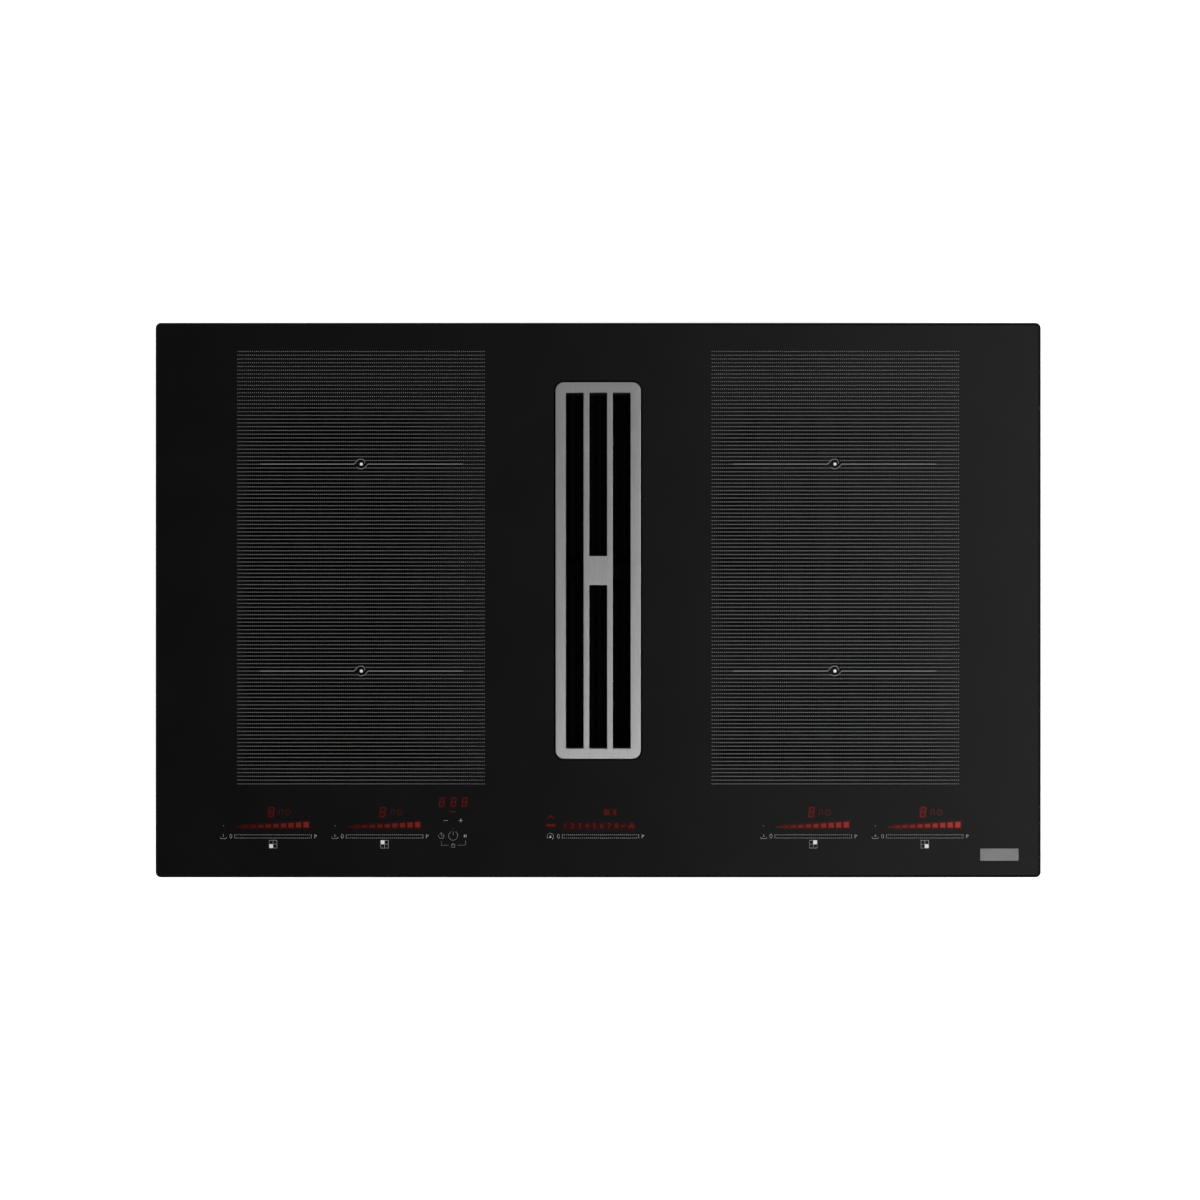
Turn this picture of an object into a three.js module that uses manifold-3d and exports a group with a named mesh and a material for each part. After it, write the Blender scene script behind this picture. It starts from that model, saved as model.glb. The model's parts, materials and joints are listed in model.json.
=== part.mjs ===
// Downdraft induction cooktop: a glass plate with a lift-out intake grille, four coils in a
// sheet-metal pan, and a blower in an air box under the pan.
// Millimetres. +X is right, +Y is towards the wall, +Z is up. The origin is on the worktop
// surface, under the middle of the glass plate.

import * as THREE from 'three';
import { mergeVertices } from 'three/addons/utils/BufferGeometryUtils.js';
import Module from 'manifold-3d';

const wasm = await Module();
wasm.setup();

// ---------------------------------------------------------------- driving sizes

// Glass plate
const plateWidth = 830;
const plateDepth = 520;
const plateThickness = 4;
const plateCornerRadius = 5;
const edgeBevelWidth = 2.4;
const edgeBevelDrop = 1.2;

// Worktop cut-out, and the foam seal between glass and worktop
const plateOverhangX = 11.5;
const plateOverhangY = 14;
const sealThickness = 2;
const sealEdgeInset = 2;
const sealCutoutGap = 1.5;

// Intake grille
const grilleWidth = 80;
const grilleBackMargin = 55.8;
const grilleFrontMargin = 111.2;
const grilleThickness = 8;
const grilleProud = 1.5;
const grilleCornerRadius = 8;
const grilleEdgeChamfer = 0.8;
const grilleGap = 1.2;
const slotWidth = 16.7;
const slotEndBar = 9.7;
const slotBar = 5.35;
const bridgeWidth = 27.2;
const padWidth = 5;
const padLength = 14;
const padHeight = 3;
const padInset = 1;

// Intake collar, whose two ledges carry the grille and the filter
const collarWall = 2;
const collarFlangeWidth = 8;
const collarFlangeThickness = 1.5;
const gasketThickness = 1;
const grilleLedgeWidth = 5;
const filterLedgeWidth = 4;
const ledgeStep = 5;
const collarReach = 4;
const collarFit = 0.5;

// Grease filter cassette
const filterFit = 0.8;
const filterRim = 1.5;
const filterSheet = 1.2;
const filterDepth = 30;
const filterLip = 4;
const meshHeight = 9;
const meshSheet = 1.6;
const meshPleats = 7;
const meshFit = 0.3;
const handleWidth = 14;
const handleSheet = 1.5;
const handleDrop = 14;
const handleRise = 1;

// Drip collector under the filter
const collectorFit = 4;
const collectorEndGap = 18;
const collectorHeight = 42;
const collectorWall = 1.8;
const collectorCornerRadius = 6;
const gripWidth = 16;
const gripHeight = 10;

// Base pan
const panCutoutGap = 3.5;
const panDepth = 56;
const panSheet = 1.2;
const panCornerRadius = 8;
const panFlange = 12;
const throatHoleGap = 1.5;

// Air box
const airboxHeight = 149;
const airboxMargin = 22;
const airboxWall = 3;
const airboxCornerRadius = 12;
const coverLipHeight = 6;
const coverLipWall = 2;
const coverLipFit = 0.3;

// Blower scroll and outlet
const impellerRadius = 88;
const impellerHeight = 74;
const tongueGap = 7;
const tongueAngle = (55 * Math.PI) / 180;
const voluteGrowth = 45;
const voluteSteps = 22;
const scrollWall = 2.5;
const scrollGap = 3;
const throatToScroll = 10;
const spigotWidth = 222;
const spigotHeight = 89;
const spigotWall = 2;
const spigotReach = 30;
const spigotFlange = 4.5;
const spigotFlangeThickness = 2.5;
const spigotCornerRadius = 10;
const spigotFit = 0.5;
const scrollHeadroom = 5;
const eyeRadius = 64;
const inletRingWall = 2;
const inletRingFlange = 16;
const inletRingDrop = 14;
const inletRingFit = 0.3;
const bellMouth = 5;

// Blower wheel and motor
const bladeCount = 24;
const bladeDepth = 18;
const bladeSheet = 1.4;
const bladeLean = (28 * Math.PI) / 180;
const wheelPlate = 2;
const wheelFloorGap = 7;
const domeWall = 2;
const rotorRadius = 40;
const rotorWall = 3;
const rotorHeight = 36;
const rotorLift = 6;
const rotorFit = 0.5;
const bracketRadius = 46;
const bracketThickness = 3;
const bracketArmLength = 72;
const bracketArmWidth = 16;
const bracketArmCount = 3;
const bracketArmTurn = 30;
const statorFlange = 2;
const statorGap = 1.5;
const windingHeadroom = 3;
const bearingRadius = 10;
const shaftRadius = 5;
const runningGap = 0.3;

// Coils and what carries them
const coilInwardShift = 3.7;
const coilGap = 10;
const coilHoleRadius = 22;
const coilThickness = 8.5;
const coilGroove = 1.2;
const coilBundles = 3;
const coilBundleRounding = 0.25;
const insulationThickness = 0.8;
const insulationMargin = 5;
const carrierSheet = 1.5;
const carrierMarginY = 6.5;
const carrierBackGap = 15.3;
const carrierControlGap = 13.2;
const carrierWallGap = 4;
const carrierFlangeGap = 6;
const carrierWindows = 3;
const carrierWindowHeight = 26;
const carrierWindowShare = 0.7;
const sensorRadius = 6;
const sensorBaseRadius = 11;
const sensorBaseHeight = 3;
const sensorHoleGap = 1;

// Power electronics
const boardThickness = 1.6;
const boardStandoff = 6;
const standoffRadius = 3;
const standoffInset = 8;
const powerBoardWidth = 240;
const powerBoardSideGap = 11;
const powerBoardFrontGap = 66.3;
const heatsinkWidth = 60;
const heatsinkLength = 220;
const heatsinkBase = 5;
const heatsinkHeight = 26;
const heatsinkFins = 9;
const heatsinkFin = 1.5;
const heatsinkToCapacitors = 30;
const capacitorWidth = 42;
const capacitorDepth = 30;
const capacitorHeight = 24;
const capacitorCount = 3;
const capacitorPitch = 62;
const mainsBoardWidth = 84;
const mainsBoardDepth = 70;
const mainsBoardGap = 5.5;
const boardToBoard = 2.5;
const mainsPartOffset = 21;
const chokeRadius = 16;
const chokeHeight = 20;

// Electronics cooling fans
const fanSize = 84;
const fanHeight = 28;
const fanWall = 2;
const fanSideGap = 1.3;
const fanBackGap = 37.3;
const fanCavityRadius = 38;
const fanIntakeRadius = 26;
const fanOutletWidth = 50;
const fanRotorRadius = 34;
const fanBladeDepth = 11;
const fanBladeCount = 9;
const fanBladeSheet = 1.2;
const fanHubRadius = 13;
const fanHubWall = 2;
const fanSpindleRadius = 2;
const fanEndGap = 2;

// Touch controls
const controlWidth = 700;
const controlDepth = 48;
const controlFrontGap = 11.5;
const controlGlassGap = 1.7;
const controlTraySheet = 3;
const controlTrayRim = 1.5;
const controlFit = 0.3;
const controlLegWidth = 12;
const controlLegPitch = 210;
const controlLegs = 4;

// Terminal box and cable gland
const terminalWidth = 84;
const terminalDepth = 78;
const terminalHeight = 36;
const terminalWall = 2;
const terminalX = -150;
const terminalBackGap = 10.5;
const terminalBlockWidth = 52;
const terminalBlockDepth = 18;
const terminalBlockHeight = 14;
const cableHoleRadius = 10;
const glandThreadRadius = 9;
const glandBoreRadius = 6.5;
const glandHexRadius = 13;
const glandHexThickness = 6;
const glandNutLength = 16;
const glandNutWall = 2;
const glandInside = 6;
const glandFit = 0.4;

// Mounting brackets, bolted under the pan, each with a clamping screw
const clampReach = 34;
const clampWidth = 11;
const clampThickness = 2;
const clampWorktopBite = 5.5;
const clampSetIn = 42.5;
const clampBossDepth = 8;
const clampBoltRadius = 3;
const clampHeadRadius = 6;
const clampHeadThickness = 2;
const screwRadius = 2.5;
const screwLength = 50;
const screwHeadRadius = 4.5;
const screwHeadHeight = 3.5;
const screwTipDrop = 0.7;

// Vents in the pan floor
const ventSlotWidth = 4;
const ventSlotPitch = 10;
const ventSlotReach = 2;
const exhaustSlotLength = 34;
const exhaustSlotPitch = 26;
const exhaustSlotsPerSide = 6;

// Facets
const cornerFacets = 3;
const wheelFacets = 36;
const tubeFacets = 18;
const screwFacets = 10;
const hexFacets = 6;
const weldTolerance = 1e-4;
const cutPast = 1;

// ---------------------------------------------------------------- levels and places

const glassUnderside = sealThickness;
const glassTop = glassUnderside + plateThickness;
const cutoutWidth = plateWidth - 2 * plateOverhangX;
const cutoutDepth = plateDepth - 2 * plateOverhangY;

const grilleDepth = plateDepth - grilleBackMargin - grilleFrontMargin;
const grilleSetback = (grilleFrontMargin - grilleBackMargin) / 2;
const slotLength = grilleDepth - 2 * slotEndBar;
const grilleTop = glassTop + grilleProud;
const grilleUnderside = grilleTop - grilleThickness;
const grilleLedgeTop = grilleUnderside - padHeight;
const filterLedgeTop = grilleLedgeTop - ledgeStep;
const mouthWidth = grilleWidth + 2 * grilleGap;
const mouthDepth = grilleDepth + 2 * grilleGap;
const mouthRadius = grilleCornerRadius + grilleGap;
const seatWidth = mouthWidth - 2 * grilleLedgeWidth;
const seatDepth = mouthDepth - 2 * grilleLedgeWidth;
const throatWidth = seatWidth - 2 * filterLedgeWidth;
const throatDepth = seatDepth - 2 * filterLedgeWidth;
const seatRadius = Math.max(mouthRadius - grilleLedgeWidth, 1);
const throatRadius = Math.max(seatRadius - filterLedgeWidth, 1);
const throatOuterWidth = throatWidth + 2 * collarWall;
const throatOuterDepth = throatDepth + 2 * collarWall;
const collarTop = glassUnderside - gasketThickness;
const collarFlangeOuter = mouthWidth + 2 * (collarWall + collarFlangeWidth);

const panWidth = cutoutWidth - 2 * panCutoutGap;
const panOuterDepth = cutoutDepth - 2 * panCutoutGap;
const panUnderside = -panDepth;
const panFloor = panUnderside + panSheet;
const panInnerBack = panOuterDepth / 2 - panSheet;
const panInnerFront = -panInnerBack;

const airboxTop = panUnderside;
const tubTop = airboxTop - airboxWall;
const tubUnderside = airboxTop - airboxHeight;
const tubFloor = tubUnderside + airboxWall;
const airboxLeft = -throatOuterWidth / 2 - airboxMargin;
const airboxFront = grilleSetback - throatOuterDepth / 2 - airboxMargin;
const airboxBack = grilleSetback + throatOuterDepth / 2 + airboxMargin;
const collarUnderside = tubTop - collarReach;

// The scroll's inner wall grows steadily from the tongue round to the outlet.
function voluteRadius(angle) {
  const share = (angle - tongueAngle) / (2 * Math.PI - tongueAngle);
  return impellerRadius + tongueGap + voluteGrowth * share;
}

const blowerX = throatWidth / 2 + throatToScroll + scrollWall + voluteRadius(Math.PI);
const blowerY = airboxFront + airboxWall + scrollGap + scrollWall + voluteRadius(1.5 * Math.PI);
const voluteRight = blowerX + voluteRadius(2 * Math.PI);
// The scroll's square outlet end stands clear of the tub's rounded corner.
const airboxRight = voluteRight + scrollWall + airboxCornerRadius;
const scrollCeiling = tubFloor + spigotHeight + 2 * scrollHeadroom;
const scrollTop = scrollCeiling + scrollWall;
const scrollEndY = airboxBack - airboxWall;
const spigotX = voluteRight + spigotWall - spigotWidth / 2;
const spigotZ = (tubFloor + scrollCeiling) / 2;
const spigotLeft = spigotX - spigotWidth / 2 + spigotWall;

const bracketTop = tubFloor + bracketThickness;
const rotorUnderside = tubFloor + rotorLift;
const rotorTop = rotorUnderside + rotorHeight;
const wheelUnderside = tubFloor + wheelFloorGap;
const wheelTop = wheelUnderside + impellerHeight;
const bladeInnerRadius = impellerRadius - bladeDepth;

const controlTrayGrow = controlFit + controlTrayRim;
const controlY = panInnerFront + controlFrontGap + controlTrayGrow + controlDepth / 2;
const controlTrayBack = controlY + controlDepth / 2 + controlTrayGrow;

const carrierInnerX = collarFlangeOuter / 2 + carrierFlangeGap;
const carrierOuterX = panWidth / 2 - panSheet - carrierWallGap;
const carrierFrontY = controlTrayBack + carrierControlGap;
const carrierBackY = panInnerBack - carrierBackGap;
const coilOffsetX = (carrierInnerX + carrierOuterX) / 2 - coilInwardShift;
const coilRadius = (carrierBackY - carrierFrontY - 2 * carrierMarginY - coilGap) / 4;
const frontCoilY = carrierFrontY + carrierMarginY + coilRadius;
const rearCoilY = carrierBackY - carrierMarginY - coilRadius;
const carrierMidY = (carrierFrontY + carrierBackY) / 2;
const coilTop = glassUnderside - insulationThickness;
const carrierTop = coilTop - coilThickness;
const carrierUnderside = carrierTop - carrierSheet;

const terminalTop = panUnderside;
const terminalUnderside = terminalTop - terminalHeight;
const terminalBack = panOuterDepth / 2 - terminalBackGap;
const terminalCentreY = terminalBack - terminalDepth / 2;
const glandZ = (terminalTop + terminalUnderside) / 2;

const boardUnderside = panFloor + boardStandoff;
const boardTop = boardUnderside + boardThickness;
const bayOuterX = carrierOuterX - carrierSheet;
const mainsBoardY = terminalCentreY - cableHoleRadius - mainsBoardGap - mainsBoardDepth / 2;
const powerBoardFront = panInnerFront + powerBoardFrontGap;
const powerBoardBack = mainsBoardY - mainsBoardDepth / 2 - boardToBoard;
const powerBoardDepth = powerBoardBack - powerBoardFront;
const powerBoardX = bayOuterX - powerBoardSideGap - powerBoardWidth / 2;
const powerBoardY = (powerBoardFront + powerBoardBack) / 2;
const heatsinkX = powerBoardX + (powerBoardWidth - heatsinkWidth) / 2;
const capacitorX = heatsinkX - heatsinkWidth / 2 - heatsinkToCapacitors - capacitorWidth / 2;
const fanTop = panFloor + fanHeight;
const fanX = bayOuterX - fanSideGap - fanSize / 2;
const fanY = panInnerBack - fanBackGap - fanSize / 2;

const controlBoardTop = glassUnderside - controlGlassGap;
const controlBoardUnderside = controlBoardTop - boardThickness;

const clampTop = panUnderside - runningGap;
const clampUnderside = clampTop - clampThickness;
const clampScrewX = cutoutWidth / 2 + clampWorktopBite;
const clampBoltX = clampScrewX - clampReach;
const clampBoltY = panOuterDepth / 2 - clampSetIn;

// ---------------------------------------------------------------- building blocks

function toSolid(geometry) {
  const bare = geometry.index ? geometry.toNonIndexed() : geometry.clone();
  bare.deleteAttribute('normal');
  bare.deleteAttribute('uv');
  const merged = mergeVertices(bare, weldTolerance);
  const corners = merged.index.array;
  const triangles = [];
  for (let i = 0; i < corners.length; i += 3) {
    const [a, b, c] = [corners[i], corners[i + 1], corners[i + 2]];
    if (a !== b && b !== c && c !== a) triangles.push(a, b, c);
  }
  return new wasm.Manifold(new wasm.Mesh({
    numProp: 3,
    vertProperties: merged.attributes.position.array,
    triVerts: new Uint32Array(triangles),
  }));
}

function toGeometry(solid) {
  const { numProp, vertProperties, triVerts } = solid.getMesh();
  const positions = [];
  for (let i = 0; i < vertProperties.length; i += numProp) {
    positions.push(vertProperties[i], vertProperties[i + 1], vertProperties[i + 2]);
  }
  const indexed = new THREE.BufferGeometry();
  indexed.setAttribute('position', new THREE.Float32BufferAttribute(positions, 3));
  indexed.setIndex(Array.from(triVerts));
  const flat = indexed.toNonIndexed();
  flat.computeVertexNormals();
  return flat;
}

function union(solids) {
  return solids.reduce((whole, next) => whole.add(next));
}

function box([lowX, highX], [lowY, highY], [lowZ, highZ]) {
  const geometry = new THREE.BoxGeometry(highX - lowX, highY - lowY, highZ - lowZ);
  geometry.translate((lowX + highX) / 2, (lowY + highY) / 2, (lowZ + highZ) / 2);
  return toSolid(geometry);
}

// A span of the given width about a centre.
function about(centre, width) {
  return [centre - width / 2, centre + width / 2];
}

// The corner points of a rounded rectangle, counter-clockwise.
function roundedOutline(width, depth, radius, centreX = 0, centreY = 0) {
  const points = [];
  for (const [signX, signY, start] of [[1, 1, 0], [-1, 1, 0.5], [-1, -1, 1], [1, -1, 1.5]]) {
    for (let i = 0; i <= cornerFacets; i += 1) {
      const angle = start * Math.PI + (i / cornerFacets) * (Math.PI / 2);
      const x = centreX + signX * (width / 2 - radius) + radius * Math.cos(angle);
      const y = centreY + signY * (depth / 2 - radius) + radius * Math.sin(angle);
      points.push(new THREE.Vector2(x, y));
    }
  }
  return points;
}

// A solid between two outlines with as many points each.
function loft(lowOutline, low, highOutline, high) {
  const count = lowOutline.length;
  const positions = [];
  lowOutline.forEach((point) => positions.push(point.x, point.y, low));
  highOutline.forEach((point) => positions.push(point.x, point.y, high));
  const index = [];
  for (const [a, b, c] of THREE.ShapeUtils.triangulateShape(lowOutline, [])) {
    index.push(c, b, a, a + count, b + count, c + count);
  }
  for (let i = 0; i < count; i += 1) {
    const next = (i + 1) % count;
    index.push(i, next, next + count, i, next + count, i + count);
  }
  const geometry = new THREE.BufferGeometry();
  geometry.setAttribute('position', new THREE.Float32BufferAttribute(positions, 3));
  geometry.setIndex(index);
  return toSolid(geometry);
}

function prism(outline, low, high) {
  return loft(outline, low, outline, high);
}

function ringPrism(outer, inner, low, high) {
  return prism(outer, low, high).subtract(prism(inner, low - cutPast, high + cutPast));
}

function drum(radius, low, high, x = 0, y = 0, facets = tubeFacets) {
  const geometry = new THREE.CylinderGeometry(radius, radius, high - low, facets);
  geometry.rotateX(Math.PI / 2);
  geometry.translate(x, y, (low + high) / 2);
  return toSolid(geometry);
}

function tube(outerRadius, innerRadius, low, high, x = 0, y = 0, facets = tubeFacets) {
  const bore = drum(innerRadius, low - cutPast, high + cutPast, x, y, facets);
  return drum(outerRadius, low, high, x, y, facets).subtract(bore);
}

// A solid turned about a vertical axis; its profile of [radius, height] closes on itself.
function turned(profile, x = 0, y = 0, facets = wheelFacets) {
  const points = profile.map(([radius, height]) => new THREE.Vector2(radius, height));
  points.push(points[0].clone());
  const geometry = new THREE.LatheGeometry(points, facets);
  geometry.rotateX(Math.PI / 2);
  geometry.translate(x, y, 0);
  return toSolid(geometry);
}

// A solid extruded along Y from an outline in X and Z.
function extrudedAlongY(points, lowY, highY) {
  const shape = new THREE.Shape(points.map(([x, z]) => new THREE.Vector2(x, z)));
  const geometry = new THREE.ExtrudeGeometry(shape, { depth: highY - lowY, bevelEnabled: false });
  geometry.rotateX(Math.PI / 2);
  geometry.translate(0, highY, 0);
  return toSolid(geometry);
}

// ---------------------------------------------------------------- materials

function material(color, roughness, metalness) {
  return new THREE.MeshStandardMaterial({ color, roughness, metalness });
}

const looks = {
  glass: () => material(0x0d0d0d, 0.08, 0),
  foam: () => material(0x1a1a1a, 0.95, 0),
  satinSteel: () => material(0x909090, 0.35, 1),
  rubber: () => material(0x151515, 0.9, 0),
  blackPlastic: () => material(0x1c1c1e, 0.55, 0),
  blackCoating: () => material(0x121212, 0.6, 0.3),
  darkPlastic: () => material(0x2a2b2d, 0.6, 0),
  zincSteel: () => material(0xa9adb0, 0.4, 1),
  aluminium: () => material(0xc4c6c8, 0.35, 1),
  copper: () => material(0xa05a32, 0.45, 1),
  mica: () => material(0xb9a98a, 0.8, 0),
  circuitBoard: () => material(0x1f5a37, 0.6, 0),
  sensorCeramic: () => material(0xe6e2d8, 0.6, 0),
  terminalPlastic: () => material(0xc9c6bd, 0.55, 0),
};

const cooktop = new THREE.Group();

function add(name, solid, look) {
  const mesh = new THREE.Mesh(toGeometry(solid), look());
  mesh.name = name;
  cooktop.add(mesh);
}

// ---------------------------------------------------------------- glass plate and seal

function grilleOutline(grow) {
  const width = grilleWidth + 2 * grow;
  const depth = grilleDepth + 2 * grow;
  return roundedOutline(width, depth, grilleCornerRadius + grow, 0, grilleSetback);
}

function plateOutline(inset) {
  const width = plateWidth - 2 * inset;
  const depth = plateDepth - 2 * inset;
  return roundedOutline(width, depth, plateCornerRadius, 0, 0);
}

function glassPlate() {
  const bevelFoot = glassTop - edgeBevelDrop;
  const slab = prism(plateOutline(0), glassUnderside, bevelFoot);
  const bevel = loft(plateOutline(0), bevelFoot, plateOutline(edgeBevelWidth), glassTop);
  const mouth = prism(grilleOutline(grilleGap), glassUnderside - cutPast, glassTop + cutPast);
  return slab.add(bevel).subtract(mouth);
}

function worktopSeal() {
  const innerWidth = cutoutWidth + 2 * sealCutoutGap;
  const innerDepth = cutoutDepth + 2 * sealCutoutGap;
  const inner = roundedOutline(innerWidth, innerDepth, plateCornerRadius);
  return ringPrism(plateOutline(sealEdgeInset), inner, 0, glassUnderside);
}

add('glass_plate', glassPlate(), looks.glass);
add('worktop_seal', worktopSeal(), looks.foam);

// ---------------------------------------------------------------- grille and its pads

function ventGrille() {
  const chamferFoot = grilleTop - grilleEdgeChamfer;
  const body = prism(grilleOutline(0), grilleUnderside, chamferFoot);
  const chamfer = loft(grilleOutline(0), chamferFoot, grilleOutline(-grilleEdgeChamfer), grilleTop);
  const slotSpan = about(grilleSetback, slotLength);
  const throughGrille = [grilleUnderside - cutPast, grilleTop + cutPast];
  const slots = [-1, 0, 1].map((column) => {
    const spanX = about(column * (slotWidth + slotBar), slotWidth);
    return box(spanX, slotSpan, throughGrille);
  });
  const bridge = box(
    about(0, slotWidth + slotBar),
    about(grilleSetback, bridgeWidth),
    [grilleUnderside, grilleTop],
  );
  return body.add(chamfer).subtract(union(slots)).add(bridge);
}

add('vent_grille', ventGrille(), looks.satinSteel);

const padX = grilleWidth / 2 - padInset - padWidth / 2;
const padY = grilleDepth / 2 - grilleCornerRadius - padLength / 2;
[[-1, -1], [1, -1], [-1, 1], [1, 1]].forEach(([signX, signY], i) => {
  const pad = box(
    about(signX * padX, padWidth),
    about(grilleSetback + signY * padY, padLength),
    [grilleLedgeTop, grilleUnderside],
  );
  add(`grille_pad_${i + 1}`, pad, looks.rubber);
});

// ---------------------------------------------------------------- intake collar

function throatRing(innerWidth, innerDepth, innerRadius, wall, low, high) {
  const outer = roundedOutline(
    innerWidth + 2 * wall,
    innerDepth + 2 * wall,
    innerRadius + wall,
    0,
    grilleSetback,
  );
  const inner = roundedOutline(innerWidth, innerDepth, innerRadius, 0, grilleSetback);
  return ringPrism(outer, inner, low, high);
}

function intakeCollar() {
  const flangeFoot = collarTop - collarFlangeThickness;
  const flangeReach = collarWall + collarFlangeWidth;
  const grilleLedge = grilleLedgeTop - collarWall;
  const filterLedge = filterLedgeTop - collarWall;
  return union([
    throatRing(mouthWidth, mouthDepth, mouthRadius, flangeReach, flangeFoot, collarTop),
    throatRing(mouthWidth, mouthDepth, mouthRadius, collarWall, grilleLedge, collarTop),
    throatRing(seatWidth, seatDepth, seatRadius, grilleLedgeWidth, grilleLedge, grilleLedgeTop),
    throatRing(seatWidth, seatDepth, seatRadius, collarWall, filterLedge, grilleLedgeTop),
    throatRing(throatWidth, throatDepth, throatRadius, filterLedgeWidth, filterLedge, filterLedgeTop),
    throatRing(throatWidth, throatDepth, throatRadius, collarWall, collarUnderside, filterLedgeTop),
  ]);
}

function collarGasket() {
  const reach = collarWall + collarFlangeWidth;
  return throatRing(mouthWidth, mouthDepth, mouthRadius, reach, collarTop, glassUnderside);
}

add('intake_collar', intakeCollar(), looks.blackPlastic);
add('collar_gasket', collarGasket(), looks.foam);

// ---------------------------------------------------------------- filter cassette

const cassetteWidth = throatWidth - 2 * filterFit;
const cassetteDepth = throatDepth - 2 * filterFit;
const cassetteUnderside = filterLedgeTop - filterDepth;
const cassetteRadius = throatRadius;

function cassetteOutline(inset) {
  const width = cassetteWidth - 2 * inset;
  const depth = cassetteDepth - 2 * inset;
  return roundedOutline(width, depth, cassetteRadius, 0, grilleSetback);
}

function filterFrame() {
  const rimTop = filterLedgeTop + filterRim;
  const rimWidth = seatWidth - 2 * filterFit;
  const rimDepth = seatDepth - 2 * filterFit;
  const rim = roundedOutline(rimWidth, rimDepth, seatRadius, 0, grilleSetback);
  const wallInside = cassetteOutline(filterSheet);
  const lipInside = cassetteOutline(filterSheet + filterLip);
  return union([
    ringPrism(rim, wallInside, filterLedgeTop, rimTop),
    ringPrism(cassetteOutline(0), wallInside, cassetteUnderside, filterLedgeTop),
    ringPrism(cassetteOutline(0), lipInside, cassetteUnderside, cassetteUnderside + filterSheet),
  ]);
}

// The mesh pack is a pleated sheet that lies on the frame's lip.
function filterMesh() {
  const width = cassetteWidth - 2 * (filterSheet + meshFit);
  const depth = cassetteDepth - 2 * (filterSheet + meshFit);
  const foot = cassetteUnderside + filterSheet;
  const upper = [];
  const lower = [];
  for (let i = 0; i <= 2 * meshPleats; i += 1) {
    const x = -width / 2 + (i / (2 * meshPleats)) * width;
    const rise = i % 2 === 0 ? 0 : meshHeight - meshSheet;
    lower.push([x, foot + rise]);
    upper.unshift([x, foot + rise + meshSheet]);
  }
  const span = about(grilleSetback, depth);
  return extrudedAlongY([...lower, ...upper], span[0], span[1]);
}

function filterHandle() {
  const half = cassetteWidth / 2 - filterSheet;
  const top = filterLedgeTop - handleRise;
  const foot = top - handleDrop;
  const outline = [
    [-half, foot],
    [-half + handleSheet, foot],
    [-half + handleSheet, top - handleSheet],
    [half - handleSheet, top - handleSheet],
    [half - handleSheet, foot],
    [half, foot],
    [half, top],
    [-half, top],
  ];
  const span = about(grilleSetback, handleWidth);
  return extrudedAlongY(outline, span[0], span[1]);
}

add('filter_frame', filterFrame(), looks.darkPlastic);
add('filter_mesh', filterMesh(), looks.blackCoating);
add('filter_handle', filterHandle(), looks.blackCoating);

// ---------------------------------------------------------------- drip collector

function dripCollector() {
  const width = throatWidth - 2 * collectorFit;
  const depth = throatDepth - 2 * collectorEndGap;
  const top = tubFloor + collectorHeight;
  const outer = roundedOutline(width, depth, collectorCornerRadius, 0, grilleSetback);
  const inner = roundedOutline(
    width - 2 * collectorWall,
    depth - 2 * collectorWall,
    collectorCornerRadius - collectorWall,
    0,
    grilleSetback,
  );
  const bowl = prism(inner, tubFloor + collectorWall, top + cutPast);
  const gripSpan = about(grilleSetback, gripWidth);
  const gripOuter = box(about(0, width), gripSpan, [top - collectorWall, top + gripHeight]);
  const gripHole = box(
    about(0, width - 2 * collectorWall),
    about(grilleSetback, gripWidth + 2 * cutPast),
    [top - collectorWall - cutPast, top + gripHeight - collectorWall],
  );
  return prism(outer, tubFloor, top).subtract(bowl).add(gripOuter.subtract(gripHole));
}

add('drip_collector', dripCollector(), looks.darkPlastic);

// ---------------------------------------------------------------- air box

function airboxOutline(inset) {
  const width = airboxRight - airboxLeft - 2 * inset;
  const depth = airboxBack - airboxFront - 2 * inset;
  const centreX = (airboxLeft + airboxRight) / 2;
  const centreY = (airboxFront + airboxBack) / 2;
  return roundedOutline(width, depth, airboxCornerRadius - inset, centreX, centreY);
}

function airboxCover() {
  const throat = roundedOutline(
    throatOuterWidth + 2 * collarFit,
    throatOuterDepth + 2 * collarFit,
    throatRadius + collarWall + collarFit,
    0,
    grilleSetback,
  );
  const lipOuter = airboxOutline(airboxWall + coverLipFit);
  const lipInner = airboxOutline(airboxWall + coverLipFit + coverLipWall);
  const panel = prism(airboxOutline(0), tubTop, airboxTop);
  const lip = ringPrism(lipOuter, lipInner, tubTop - coverLipHeight, tubTop);
  return panel.add(lip).subtract(prism(throat, tubTop - cutPast, airboxTop + cutPast));
}

function airboxTub() {
  const shell = prism(airboxOutline(0), tubUnderside, tubTop);
  const inside = prism(airboxOutline(airboxWall), tubFloor, tubTop + cutPast);
  const outletHole = box(
    about(spigotX, spigotWidth + 2 * spigotFit),
    [airboxBack - airboxWall - cutPast, airboxBack + cutPast],
    about(spigotZ, spigotHeight + 2 * spigotFit),
  );
  return shell.subtract(inside).subtract(outletHole);
}

add('airbox_cover', airboxCover(), looks.blackPlastic);
add('airbox_tub', airboxTub(), looks.blackPlastic);

// ---------------------------------------------------------------- blower scroll and outlet

function voluteOutline(grow) {
  const points = [];
  for (let i = 0; i <= voluteSteps; i += 1) {
    const angle = tongueAngle + (i / voluteSteps) * (2 * Math.PI - tongueAngle);
    const radius = voluteRadius(angle) + grow;
    const x = blowerX + radius * Math.cos(angle);
    const y = blowerY + radius * Math.sin(angle);
    points.push(new THREE.Vector2(x, y));
  }
  return points;
}

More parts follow.
